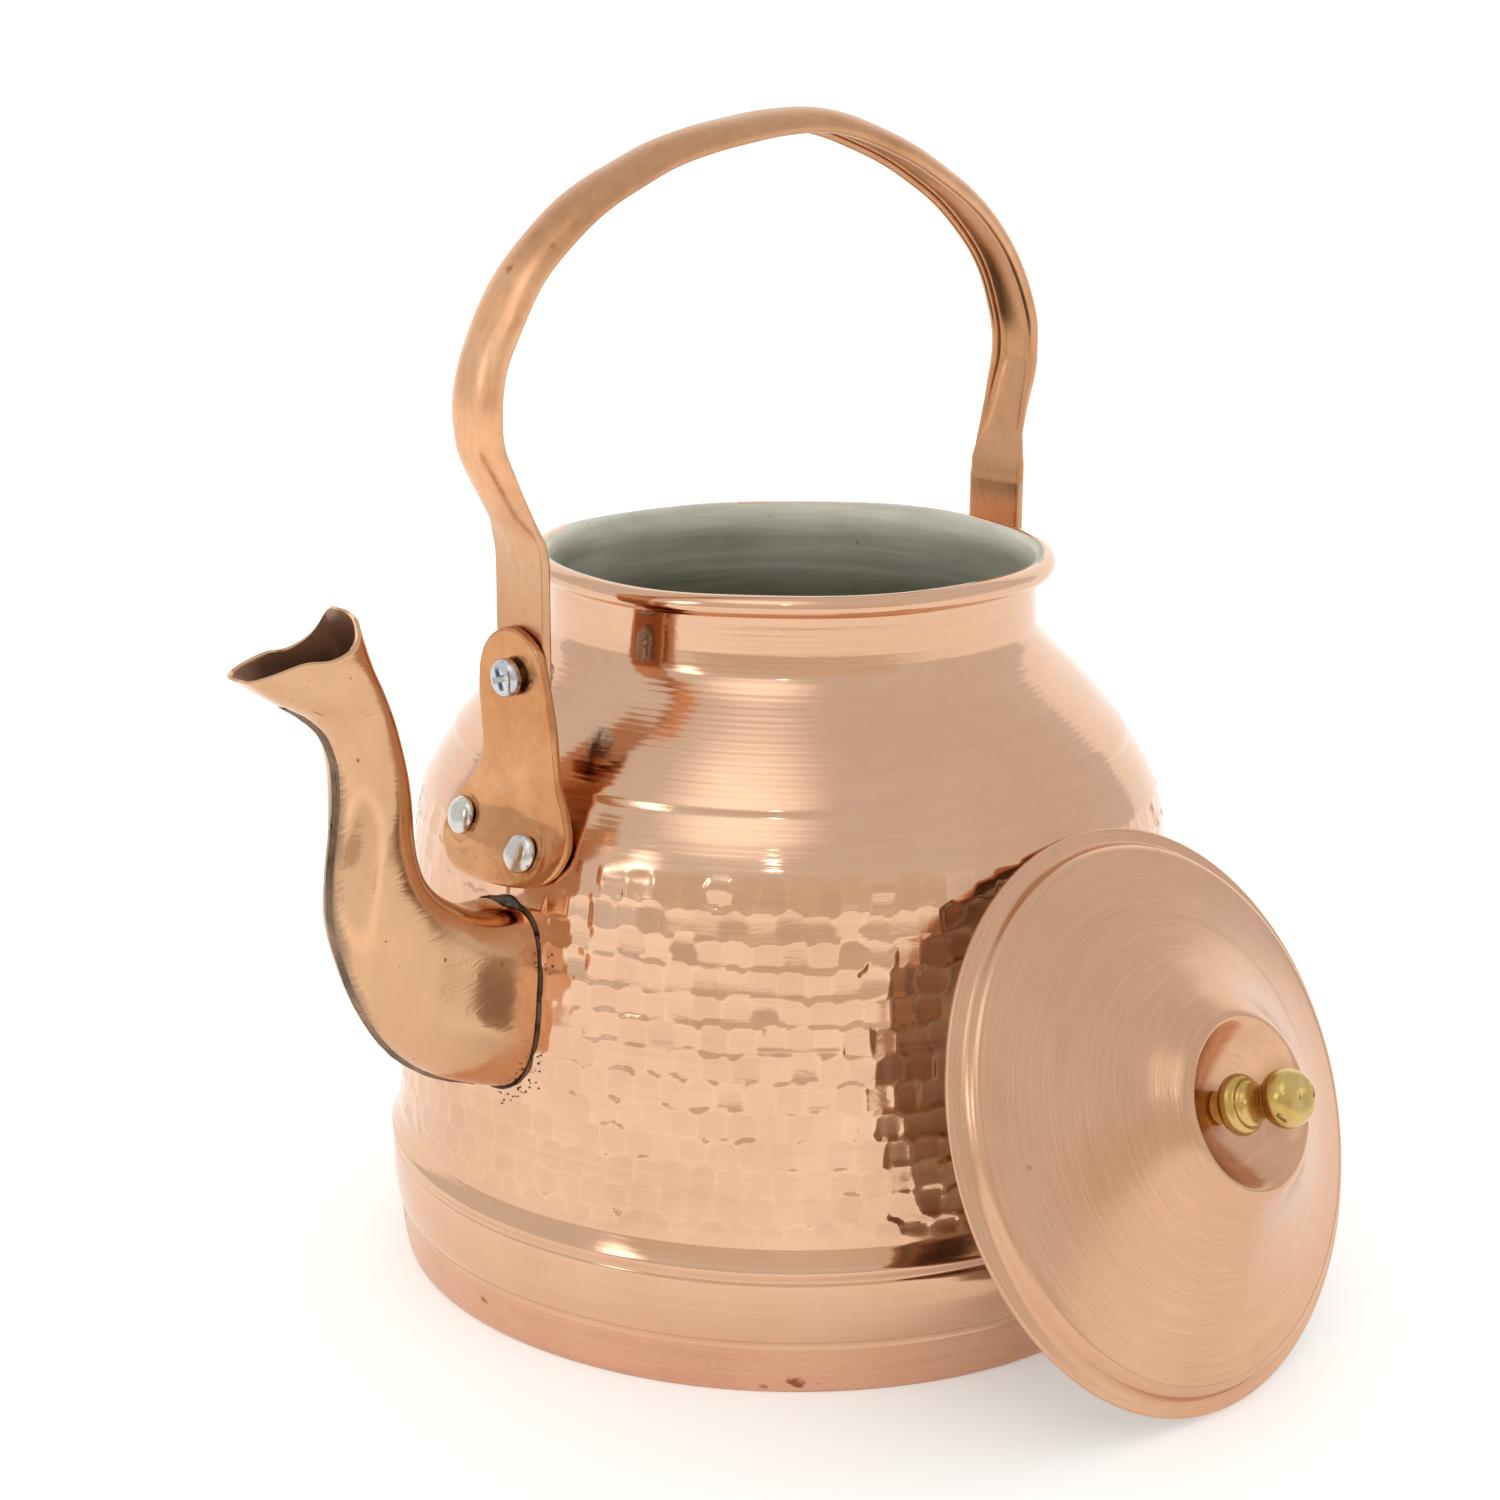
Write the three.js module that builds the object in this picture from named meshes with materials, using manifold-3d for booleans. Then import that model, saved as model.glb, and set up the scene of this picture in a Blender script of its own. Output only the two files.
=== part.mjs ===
// Copper kettle with a swan-neck spout, a swinging bail handle and a loose lid.
// Millimetres, +Z up. The origin is the centre of the base on the floor, the
// spout points along -X, and the lid leans against the belly on the -Y side.
import * as THREE from 'three';
import { LoftGeometry } from 'three/addons/geometries/LoftGeometry.js';
import { mergeVertices } from 'three/addons/utils/BufferGeometryUtils.js';
import Module from 'manifold-3d';

const wasm = await Module();
wasm.setup();

// spun body
const wallThickness = 1.4;
const baseThickness = 2;
const bodySegments = 48;
const rimCentreRadius = 56.1;
const rimHeight = 158.6;
const rimBeadRadius = 2.35;
const neckRadius = 54.3;
const fitGap = 0.35;

// bail handle: foot offsets from the kettle axis, measured at mid thickness
const pivotHeight = 144.3;
const strapThickness = 2.3;
const strapHalfWidth = 7.1;
const frontStrapX = -78.05;
const rearStrapX = 69.6;
const channelHalfWidth = 6.5;
const channelHalfDepth = 3.95;
const channelWall = 1.9;
const channelWrap = THREE.MathUtils.degToRad(105);

// riveted brackets
const bracketThickness = 1.8;
const rivetShankRadius = 1.9;
const rivetHeadRadius = 4.1;

// pivot screws
const screwHeadRadius = 4;
const screwHeadHeight = 2.5;
const screwShankRadius = 2;
const nutHeight = 3.2;
const nutAcrossCorners = 8.1;

// swan-neck spout
const spoutWall = 1.1;
const spoutPoints = 22;
const solderReach = 2;

// lid
const lidRadius = 60.5;
const lidLean = THREE.MathUtils.degToRad(23);
const lidCentre = new THREE.Vector3(0, -106.4, 56.15);
const lidSheet = 1.2;
const lidSegments = 42;

const v2 = (x, y) => new THREE.Vector2(x, y);
const v3 = (x, y, z) => new THREE.Vector3(x, y, z);

const polishedCopper = () => new THREE.MeshStandardMaterial({
  color: 0xdfa286, roughness: 0.18, metalness: 1 });
const satinCopper = () => new THREE.MeshStandardMaterial({
  color: 0xc98a5e, roughness: 0.35, metalness: 1 });
const solder = () => new THREE.MeshStandardMaterial({
  color: 0x5d534b, roughness: 0.6, metalness: 0.8 });
const zincSteel = () => new THREE.MeshStandardMaterial({
  color: 0xb9bcbf, roughness: 0.35, metalness: 1 });
const aluminium = () => new THREE.MeshStandardMaterial({
  color: 0xc4c2bd, roughness: 0.4, metalness: 1 });
const brass = () => new THREE.MeshStandardMaterial({
  color: 0xb59a45, roughness: 0.3, metalness: 1 });

// merges shared corners, drops collapsed triangles and turns the faces outward
function closedBody(geometry) {
  const bare = new THREE.BufferGeometry();
  bare.setAttribute('position', geometry.getAttribute('position').clone());
  bare.setIndex(geometry.getIndex());
  const merged = mergeVertices(bare, 1e-4);
  const position = merged.getAttribute('position');
  const source = merged.getIndex().array;
  const triangles = [];
  for (let i = 0; i < source.length; i += 3) {
    const [a, b, c] = [source[i], source[i + 1], source[i + 2]];
    if (a !== b && b !== c && c !== a) triangles.push([a, b, c]);
  }
  const p = (i) => v3().fromBufferAttribute(position, i);
  const volume = triangles.reduce(
    (sum, [a, b, c]) => sum + p(a).dot(p(b).cross(p(c))), 0);
  if (volume < 0) triangles.forEach((triangle) => triangle.reverse());
  merged.setIndex(triangles.flat());
  return merged;
}

function solid(geometry) {
  const body = closedBody(geometry);
  return new wasm.Manifold(new wasm.Mesh({
    numProp: 3,
    vertProperties: new Float32Array(body.getAttribute('position').array),
    triVerts: new Uint32Array(body.getIndex().array),
  }));
}

function geometryOf(manifold) {
  const mesh = manifold.getMesh();
  const geometry = new THREE.BufferGeometry();
  geometry.setAttribute('position', new THREE.Float32BufferAttribute(mesh.vertProperties, 3));
  geometry.setIndex(Array.from(mesh.triVerts));
  geometry.computeVertexNormals();
  return geometry;
}

// revolves a profile of (radius, height) about +Z
function revolved(profile, segments) {
  return new THREE.LatheGeometry(profile, segments).rotateX(Math.PI / 2);
}

// a revolved solid whose axis runs from a point along a direction
function turned(profile, segments, origin, direction) {
  const turn = new THREE.Quaternion().setFromUnitVectors(v3(0, 0, 1), direction);
  const geometry = revolved(profile, segments);
  geometry.applyQuaternion(turn);
  return geometry.translate(origin.x, origin.y, origin.z);
}

function plainPin(radius, from, to, origin, direction, segments = 16) {
  const profile = [v2(0, from), v2(radius, from), v2(radius, to), v2(0, to)];
  return turned(profile, segments, origin, direction);
}

// ---- body ---------------------------------------------------------------
// outside of the body from the foot to the neck, (radius, height)
const bodyProfile = [
  v2(88.6, 0), v2(89.7, 1.4), v2(90.6, 10.4), v2(90.2, 11.4), v2(91.3, 12.9),
  v2(91.9, 17.2), v2(91.9, 25), v2(91.3, 26.2), v2(92.3, 27.9), v2(91.3, 29.6),
  v2(89.8, 33.7), v2(89.5, 50), v2(87.9, 70), v2(85.8, 90), v2(84.4, 101),
  v2(82.9, 108.4), v2(80, 114), v2(76.6, 119), v2(75.9, 120), v2(75.4, 121.6),
  v2(71.4, 126.2), v2(67, 131), v2(62, 136), v2(57.9, 140), v2(55.4, 143),
  v2(54.6, 146),
];

function bodyRadiusAt(height) {
  for (let i = 1; i < bodyProfile.length; i += 1) {
    const [low, high] = [bodyProfile[i - 1], bodyProfile[i]];
    if (height <= high.y) {
      const t = (height - low.y) / (high.y - low.y);
      return THREE.MathUtils.lerp(low.x, high.x, Math.max(t, 0));
    }
  }
  return neckRadius;
}

// the sheet follows the profile, so the inside is the outside moved inward
function insideProfile() {
  const kept = bodyProfile.filter((point) => point.y > 30 || point.y === 0);
  const inside = kept.slice(1).map((point) => {
    const slope = bodyRadiusAt(point.y + 1.5) - bodyRadiusAt(point.y - 1.5);
    const length = Math.hypot(slope, 3);
    return v2(point.x - wallThickness * 3 / length, point.y + wallThickness * slope / length);
  });
  return [v2(0, baseThickness), v2(84, baseThickness), v2(89.4, 5), v2(90.3, 14), ...inside];
}

function rolledRim() {
  const points = [];
  for (let i = 0; i <= 7; i += 1) {
    const angle = THREE.MathUtils.degToRad(-130 + i * 42);
    points.push(v2(
      rimCentreRadius + rimBeadRadius * Math.cos(angle),
      rimHeight + rimBeadRadius * Math.sin(angle)));
  }
  return points;
}

function bodyShellSolid() {
  const outside = [v2(0, 0), ...bodyProfile, v2(neckRadius, 155)];
  const neckInside = v2(neckRadius - wallThickness, 156);
  const profile = [...outside, ...rolledRim(), neckInside, ...insideProfile().reverse()];
  return solid(revolved(profile, bodySegments));
}

// a filled body, grown by a gap, that cuts the pieces that sit against it
function filledBody(gap) {
  const profile = bodyProfile.map((point) => v2(point.x + gap, point.y));
  profile[0].y = -5;
  return solid(revolved(
    [v2(0, -5), ...profile, v2(neckRadius + gap, 150), v2(0, 150)], bodySegments));
}

// ---- spout --------------------------------------------------------------
// outer (front) and inner (back) outline in the plane of the spout, with the
// half width across it, from the root inside the body to just under the mouth
const spoutStations = [
  { front: v2(-80, 55.5), back: v2(-80, 97.2), half: 12.6 },
  { front: v2(-88, 57.2), back: v2(-87, 96.9), half: 12.2 },
  { front: v2(-97, 60.4), back: v2(-94, 97.9), half: 11.3 },
  { front: v2(-106.5, 65), back: v2(-100.8, 101.2), half: 10.2 },
  { front: v2(-115, 71.8), back: v2(-105.6, 104.8), half: 9.2 },
  { front: v2(-121.6, 81.2), back: v2(-108.6, 109), half: 8.3 },
  { front: v2(-126, 91.6), back: v2(-110, 113.8), half: 7.6 },
  { front: v2(-128.6, 102.5), back: v2(-110.4, 118.6), half: 7.2 },
  { front: v2(-128.4, 112), back: v2(-110.5, 122.6), half: 7 },
  { front: v2(-127, 120.5), back: v2(-110.8, 126.6), half: 6.9 },
  { front: v2(-126.2, 128), back: v2(-111.4, 130.8), half: 6.8 },
  { front: v2(-126.6, 134.8), back: v2(-112.6, 136), half: 6.8 },
  { front: v2(-128.8, 140.4), back: v2(-114.3, 142), half: 6.9 },
  { front: v2(-133.4, 144.9), back: v2(-116.6, 148.2), half: 7.2 },
  { front: v2(-140, 148.9), back: v2(-119.2, 154.2), half: 7.5 },
];
// half of the beaked mouth from the tip back to the peak: x, half width, z
const mouthCurve = new THREE.CatmullRomCurve3([
  v3(-149, 0, 154.6), v3(-147.4, 2.6, 154.9), v3(-143.6, 4.6, 155.8),
  v3(-136.8, 6.6, 156.9), v3(-131.4, 7.8, 157), v3(-127.8, 7.1, 158.4),
  v3(-125.8, 5.2, 160.8), v3(-124.4, 2.8, 163), v3(-123.7, 0, 164),
]);

function spoutSection({ front, back, half }, growth) {
  const centre = front.clone().add(back).multiplyScalar(0.5);
  const reach = front.clone().sub(centre);
  reach.setLength(reach.length() + growth);
  const points = [];
  for (let i = 0; i < spoutPoints; i += 1) {
    const angle = i / spoutPoints * Math.PI * 2;
    const soft = (value) => Math.sign(value) * Math.abs(value) ** 0.82;
    const along = soft(Math.cos(angle));
    const across = -soft(Math.sin(angle)) * (half + growth);
    points.push(v3(centre.x + reach.x * along, across, centre.y + reach.y * along));
  }
  return points;
}

function mouthSection(growth, lift) {
  const centre = v3(-134, 0, 158);
  const points = [];
  for (let i = 0; i < spoutPoints; i += 1) {
    const turn = i / spoutPoints * 2;
    const point = mouthCurve.getPointAt(turn <= 1 ? turn : 2 - turn);
    if (turn < 1) point.y *= -1;
    const inward = point.clone().sub(centre).setZ(0);
    inward.setLength(Math.max(inward.length() + growth, 0.2));
    points.push(v3(centre.x + inward.x - lift * 0.5, inward.y, point.z + lift));
  }
  return points;
}

function spoutLoft(growth, lift, stations = spoutStations) {
  const sections = stations.map((station) => spoutSection(station, growth));
  sections.push(mouthSection(growth, 0));
  if (lift > 0) sections.push(mouthSection(growth, lift));
  return solid(new LoftGeometry(sections, { capStart: true, capEnd: true }));
}

// the pouring channel also opens the belly wall behind the spout
function pouringChannel() {
  const root = { front: v2(-66, 62), back: v2(-66, 94), half: 9 };
  return spoutLoft(-spoutWall, 2, [root, ...spoutStations]);
}

function solderRing() {
  const root = spoutStations.slice(0, 4);
  const collar = root.map((station) => spoutSection(station, solderReach));
  return solid(new LoftGeometry(collar, { capStart: true, capEnd: true }))
    .intersect(filledBody(solderReach))
    .subtract(spoutLoft(fitGap, 0))
    .subtract(filledBody(fitGap));
}

// the folded seam runs up the outer curve from the root to below the beak
function seamStrip() {
  const path = spoutStations.slice(3, -1).map(({ front, back }) => {
    const outward = front.clone().sub(back).setLength(1.65);
    return v3(front.x + outward.x, 0, front.y + outward.y);
  });
  const outline = new THREE.Shape();
  outline.absarc(0, 0, 0.95, 0, Math.PI * 2);
  return new THREE.ExtrudeGeometry(outline, {
    steps: 26, curveSegments: 4, extrudePath: new THREE.CatmullRomCurve3(path) });
}

// ---- handle -------------------------------------------------------------
// centreline of the arch from foot to foot in its own plane, (x, z)
const archCurve = new THREE.CatmullRomCurve3([
  v3(-84.9, 0, 185), v3(-88.2, 0, 193), v3(-88.4, 0, 203), v3(-84.6, 0, 213.4),
  v3(-75.2, 0, 226.6), v3(-58, 0, 239), v3(-32, 0, 248.2), v3(0, 0, 252),
  v3(24, 0, 247.3), v3(48, 0, 236.4), v3(65, 0, 222.6), v3(73.4, 0, 207.6),
  v3(74.8, 0, 197), v3(72.8, 0, 187.5),
]);

// one section: 0 is the flat strap and 1 the rolled channel, open inward
function handleSection(centre, outward, roundness, width = strapHalfWidth) {
  const columns = 8;
  const side = (grow) => {
    const row = [];
    for (let i = 0; i <= columns; i += 1) {
      const t = i / columns * 2 - 1;
      const angle = t * channelWrap;
      const inset = grow ? 0 : channelWall;
      const round = v2(
        (channelHalfWidth - inset) * Math.sin(angle),
        (channelHalfDepth - inset) * Math.cos(angle));
      const flat = v2(width * t, strapThickness / 2 * (grow ? 1 : -1));
      row.push(flat.lerp(round, roundness));
    }
    return row;
  };
  return [...side(true), ...side(false).reverse()].map(({ x: across, y: out }) =>
    v3(centre.x + outward.x * out, -across, centre.z + outward.z * out));
}

// a strap foot rounded about the pivot, straight, then bent out to the arch
function strapFoot(x, outX, bendX, bendTop) {
  const sections = [];
  for (const degrees of [14, 38, 64, 90]) {
    const angle = THREE.MathUtils.degToRad(degrees);
    const centre = v3(x, 0, pivotHeight - strapHalfWidth * Math.cos(angle));
    sections.push(handleSection(centre, v3(outX, 0, 0), 0, strapHalfWidth * Math.sin(angle)));
  }
  const bend = v3(outX, 0, -0.18).normalize();
  sections.push(handleSection(v3(x, 0, 166), v3(outX, 0, 0), 0));
  sections.push(handleSection(v3(x, 0, 171.5), bend, 0.03));
  sections.push(handleSection(v3(bendX, 0, bendTop), v3(outX, 0, -0.42).normalize(), 0.55));
  return sections;
}

function handleBail() {
  const arch = [];
  const steps = 28;
  for (let i = 0; i <= steps; i += 1) {
    const tangent = archCurve.getTangentAt(i / steps);
    const outward = v3(-tangent.z, 0, tangent.x);
    const ease = Math.min(1, 0.8 + Math.min(i, steps - i) * 0.1);
    arch.push(handleSection(archCurve.getPointAt(i / steps), outward, ease));
  }
  const sections = [
    ...strapFoot(frontStrapX, -1, -81.2, 177.6), ...arch,
    ...strapFoot(rearStrapX, 1, 70.8, 179).reverse(),
  ];
  let bail = solid(new LoftGeometry(sections, { capStart: true, capEnd: true }));
  for (const x of [frontStrapX, rearStrapX]) {
    const hole = plainPin(screwShankRadius + fitGap, -6, 6, v3(x, 0, pivotHeight), v3(1, 0, 0));
    bail = bail.subtract(solid(hole));
  }
  return geometryOf(bail);
}

// ---- brackets -----------------------------------------------------------
// both brackets are cut to one pattern, so the rear one is the front one turned round
const sides = {
  front: { out: -1, strapX: frontStrapX },
  rear: { out: 1, strapX: rearStrapX },
};
// places on a bracket about its pivot, across and up, for someone facing the front one
const rivetSpots = { left: v2(15.7, -32.6), right: v2(-6.1, -35.7) };
const bracketEdge = [
  v2(0, 10.2), v2(-4.3, 8.9), v2(-7.9, 5.8), v2(-9.6, 1.6), v2(-10.7, -3), v2(-12.1, -9.6),
  v2(-12.7, -15.1), v2(-13.5, -21.3), v2(-15.5, -26.4), v2(-16.9, -31.7), v2(-17, -35.6),
  v2(-14.7, -39.4), v2(-10.7, -41.9), v2(-5.2, -43), v2(2, -43.6), v2(10.4, -43.9),
  v2(17.5, -43.1), v2(22, -39.8), v2(22.4, -35.2), v2(19.5, -30.4), v2(15.5, -25.4),
  v2(11.9, -20.8), v2(10.2, -16.2), v2(10.3, -10.4), v2(10.8, -3.4), v2(10.3, 2.3),
  v2(8.4, 6.2), v2(4.6, 9.1),
];

// distance from the kettle axis to the bracket's inner face at one point
function bracketInnerFace(side, y, z) {
  const follow = Math.sqrt((bodyRadiusAt(z) + fitGap) ** 2 - y ** 2);
  const upright = Math.abs(side.strapX) + strapThickness / 2 + fitGap;
  return (follow + upright + Math.hypot(follow - upright, 1.4)) / 2;
}

function bracketOutline(side) {
  const corners = bracketEdge.map((corner) => v3(corner.x * -side.out, corner.y, 0));
  const edge = new THREE.CatmullRomCurve3(corners, true).getPoints(64).slice(0, -1);
  return new THREE.Shape(edge.map((point) => v2(point.x, point.y)));
}

function bracketSolid(side) {
  const prism = new THREE.ExtrudeGeometry(bracketOutline(side), {
    depth: 60, bevelEnabled: false });
  prism.rotateX(Math.PI / 2).rotateZ(Math.PI / 2);
  prism.translate(side.out * 80 - 30, 0, pivotHeight);
  const sheet = new THREE.BoxGeometry(bracketThickness, 56, 66, 1, 8, 17);
  sheet.translate(0, 0, 125);
  const position = sheet.getAttribute('position');
  for (let i = 0; i < position.count; i += 1) {
    const [x, y, z] = [position.getX(i), position.getY(i), position.getZ(i)];
    const face = bracketInnerFace(side, y, z);
    position.setX(i, side.out * (face + (x > 0 ? bracketThickness : 0)));
  }
  return solid(prism).intersect(solid(sheet));
}

function pivotHole(side) {
  return solid(plainPin(screwShankRadius + fitGap, -100, 100, v3(0, 0, pivotHeight),
    v3(side.out, 0, 0)));
}

// centre of a rivet on the bracket's outer face, and the way out of that face
function rivetSeat(side, spot) {
  const face = (y, z) => bracketInnerFace(side, y, z);
  const reach = rivetHeadRadius * 0.8;
  const [y, z] = [spot.x * -side.out, spot.y + pivotHeight];
  const direction = v3(
    side.out,
    (face(y - reach, z) - face(y + reach, z)) / (2 * reach),
    (face(y, z - reach) - face(y, z + reach)) / (2 * reach)).normalize();
  return { point: v3(side.out * (face(y, z) + bracketThickness), y, z), direction };
}

function rivetHole(seat) {
  return solid(plainPin(rivetShankRadius + fitGap, -9, 6, seat.point, seat.direction, 14));
}

function rivet(seat) {
  const [head, shank] = [rivetHeadRadius, rivetShankRadius];
  const tail = -bracketThickness - wallThickness - 1.5;
  const profile = [
    v2(0, tail - 1.4), v2(2.6, tail - 1.2), v2(3.4, tail - 0.5), v2(3.4, tail), v2(shank, tail),
    v2(shank, 0.65), v2(head, 0.65), v2(head - 0.2, 1.15), v2(head * 0.72, 2),
    v2(head * 0.4, 2.4), v2(0, 2.55),
  ];
  return turned(profile, 12, seat.point, seat.direction);
}

// ---- pivot screws and nuts ----------------------------------------------
function pivotScrew(side) {
  const seat = Math.abs(side.strapX) + strapThickness / 2 + bracketThickness + 0.7 + fitGap * 2;
  const shankEnd = -bracketThickness - strapThickness - nutHeight - fitGap * 4 - 1.6;
  const head = screwHeadRadius;
  const profile = [
    v2(0, shankEnd), v2(screwShankRadius - 0.4, shankEnd), v2(screwShankRadius, shankEnd + 0.5),
    v2(screwShankRadius, 0), v2(head, 0), v2(head, 1.2), v2(head * 0.86, 2),
    v2(head * 0.5, screwHeadHeight), v2(0, screwHeadHeight),
  ];
  const origin = v3(side.out * seat, 0, pivotHeight);
  let screw = solid(turned(profile, 20, origin, v3(side.out, 0, 0)));
  for (const turn of [0.3, 0.3 + Math.PI / 2]) {
    const slot = new THREE.BoxGeometry(3, 0.9, 4.6).rotateX(turn);
    slot.translate(side.out * (seat + 2.6), 0, pivotHeight);
    screw = screw.subtract(solid(slot));
  }
  return geometryOf(screw);
}

function pivotNut(side) {
  const nut = new THREE.CylinderGeometry(nutAcrossCorners / 2, nutAcrossCorners / 2, nutHeight, 6);
  const inner = Math.abs(side.strapX) - strapThickness / 2 - fitGap;
  nut.rotateZ(Math.PI / 2).translate(side.out * (inner - nutHeight / 2), 0, pivotHeight);
  return geometryOf(solid(nut).subtract(pivotHole(side)));
}

// ---- lid ----------------------------------------------------------------
// top of the lid from the rim inward to the hole for the knob, (radius, height)
const lidProfile = [
  v2(60, 0.55), v2(57.6, 0.9), v2(56.9, 1.7), v2(56.2, 3.6), v2(55, 4.5), v2(53.6, 4.6),
  v2(46, 7), v2(38, 10.2), v2(31, 13.9), v2(25.4, 18), v2(21.4, 22), v2(19.3, 24.4),
  v2(17.7, 25.2), v2(16.2, 24.6), v2(12.6, 20.6), v2(8.6, 17.2), v2(6, 16.2), v2(2.4, 16),
];
const knobSeat = 16;

function lidShell() {
  const under = lidProfile.map((point, i) => {
    const before = lidProfile[Math.max(i - 1, 0)];
    const after = lidProfile[Math.min(i + 1, lidProfile.length - 1)];
    const run = after.clone().sub(before).normalize();
    return v2(point.x - run.y * lidSheet, point.y + run.x * lidSheet);
  });
  under[0].set(59.9, -0.75);
  under[under.length - 1].x = 2.4;
  const edge = [v2(lidRadius, -0.35), v2(lidRadius, 0.2)];
  const profile = [...under.reverse(), ...edge, ...lidProfile];
  profile.push(profile[0].clone());
  return geometryOf(solid(revolved(profile, lidSegments)));
}

function lidKnob() {
  const seat = knobSeat + fitGap;
  const profile = [
    v2(0, seat + 8), v2(2.3, seat + 8), v2(2.3, seat), v2(3.5, seat), v2(3.4, 19.2),
    v2(2.9, 19.7), v2(4.2, 20.2), v2(6, 21), v2(6.4, 22.3), v2(5.9, 23.6), v2(4.9, 24.2),
    v2(4.8, 25), v2(3.9, 25.8), v2(3.4, 27.4), v2(3.5, 29.6), v2(4.2, 30.4), v2(5.5, 31.6),
    v2(6.1, 33.6), v2(5.8, 35.6), v2(4.9, 37.3), v2(3.6, 37.9), v2(1, 37.9), v2(0, 37.2),
  ];
  return revolved(profile, 18);
}

function lidKnobScrew() {
  const under = knobSeat - lidSheet - fitGap;
  const profile = [
    v2(0, under - 2.2), v2(2.4, under - 2.2), v2(3.6, under - 1.4), v2(3.8, under),
    v2(1.95, under), v2(1.95, knobSeat + 7), v2(0, knobSeat + 7),
  ];
  return revolved(profile, 16);
}

// ---- assembly -----------------------------------------------------------
const kettle = new THREE.Group();

function place(parent, name, geometry, material) {
  const mesh = new THREE.Mesh(closedBody(geometry), material);
  mesh.name = name;
  mesh.geometry.computeVertexNormals();
  parent.add(mesh);
}

let body = bodyShellSolid().subtract(pouringChannel());
for (const [sideName, side] of Object.entries(sides)) {
  let bracket = bracketSolid(side).subtract(pivotHole(side));
  for (const [hand, spot] of Object.entries(rivetSpots)) {
    const seat = rivetSeat(side, spot);
    bracket = bracket.subtract(rivetHole(seat));
    body = body.subtract(rivetHole(seat));
    place(kettle, `rivet_${sideName}_${hand}`, rivet(seat), aluminium());
  }
  place(kettle, `bracket_${sideName}`, geometryOf(bracket), satinCopper());
  place(kettle, `pivot_screw_${sideName}`, pivotScrew(side), zincSteel());
  place(kettle, `pivot_nut_${sideName}`, pivotNut(side), zincSteel());
}
place(kettle, 'body_shell', geometryOf(body), polishedCopper());

const spout = spoutLoft(0, 0).subtract(pouringChannel()).subtract(filledBody(fitGap));
place(kettle, 'spout', geometryOf(spout), polishedCopper());
place(kettle, 'spout_solder_joint', geometryOf(solderRing()), solder());
place(kettle, 'spout_seam', seamStrip(), solder());
place(kettle, 'handle_bail', handleBail(), satinCopper());

const lid = new THREE.Group();
lid.position.copy(lidCentre);
lid.rotation.x = Math.PI / 2 - lidLean;
place(lid, 'lid_shell', lidShell(), polishedCopper());
place(lid, 'lid_knob', lidKnob(), brass());
place(lid, 'lid_knob_screw', lidKnobScrew(), zincSteel());
kettle.add(lid);

export default kettle;
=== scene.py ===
import math

import bpy
import numpy as np
from mathutils import Matrix, Vector, noise


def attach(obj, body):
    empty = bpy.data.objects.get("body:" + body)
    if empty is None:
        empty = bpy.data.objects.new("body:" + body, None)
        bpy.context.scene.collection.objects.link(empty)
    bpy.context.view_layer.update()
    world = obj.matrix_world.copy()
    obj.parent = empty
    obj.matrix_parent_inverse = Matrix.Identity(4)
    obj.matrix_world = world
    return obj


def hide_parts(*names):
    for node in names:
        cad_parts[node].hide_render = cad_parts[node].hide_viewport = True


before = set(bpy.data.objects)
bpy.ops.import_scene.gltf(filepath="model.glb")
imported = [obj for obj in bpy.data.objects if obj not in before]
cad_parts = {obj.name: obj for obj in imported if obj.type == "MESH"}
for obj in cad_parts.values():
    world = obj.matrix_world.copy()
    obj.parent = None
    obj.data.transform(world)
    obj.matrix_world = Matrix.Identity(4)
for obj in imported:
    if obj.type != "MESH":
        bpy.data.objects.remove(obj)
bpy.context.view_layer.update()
mm = 0.001
print("frame loaded")


# sRGB hex to linear rgba
def colour(hexText):
    channels = [int(hexText[i:i + 2], 16) / 255 for i in (1, 3, 5)]
    return [c / 12.92 if c <= 0.04045 else ((c + 0.055) / 1.055) ** 2.4 for c in channels] + [1]


# settings are plain values by socket or property name, links are outputs of other nodes
def addNode(tree, kind, settings=None, links=None):
    node = tree.nodes.new("ShaderNode" + kind)
    for key, value in (settings or {}).items():
        if isinstance(key, int) or key in node.inputs:
            node.inputs[key].default_value = value
        else:
            setattr(node, key, value)
    for key, source in (links or {}).items():
        tree.links.new(source, node.inputs[key])
    return node


# one arithmetic node; each value is a number or another node's output
def maths(tree, operation, *values):
    node = addNode(tree, "Math", {"operation": operation})
    for place, value in enumerate(values):
        if isinstance(value, (int, float)):
            node.inputs[place].default_value = value
        else:
            tree.links.new(value, node.inputs[place])
    return node.outputs[0]


def rampNode(tree, source, stops):
    node = addNode(tree, "ValToRGB", links={"Fac": source})
    ramp = node.color_ramp
    for at, _ in stops[2:]:
        ramp.elements.new(at)
    for element, (at, hexText) in zip(ramp.elements, stops):
        element.position = at
        element.color = colour(hexText)
    return node.outputs["Color"]


# smooth noise between -1 and 1 at a point
def unevenness(point, scale=1):
    return noise.noise(Vector(np.asarray(point, float) * scale))


# even samples of a Catmull-Rom curve through rows of numbers
def catmull(points, count):
    points = np.asarray(points, float)
    last = len(points) - 1
    flat = points.reshape(last + 1, -1)
    padded = np.vstack([2 * flat[0] - flat[1], flat, 2 * flat[-1] - flat[-2]])
    t = np.linspace(0, last, count)
    i = np.minimum(t.astype(int), last - 1)
    f = (t - i)[:, None]
    a, b, c, d = padded[i], padded[i + 1], padded[i + 2], padded[i + 3]
    out = 0.5 * (2 * b + (c - a) * f + (2 * a - 5 * b + 4 * c - d) * f ** 2
                 + (3 * b - a - 3 * c + d) * f ** 3)
    return out.reshape((count,) + points.shape[1:])


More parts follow.
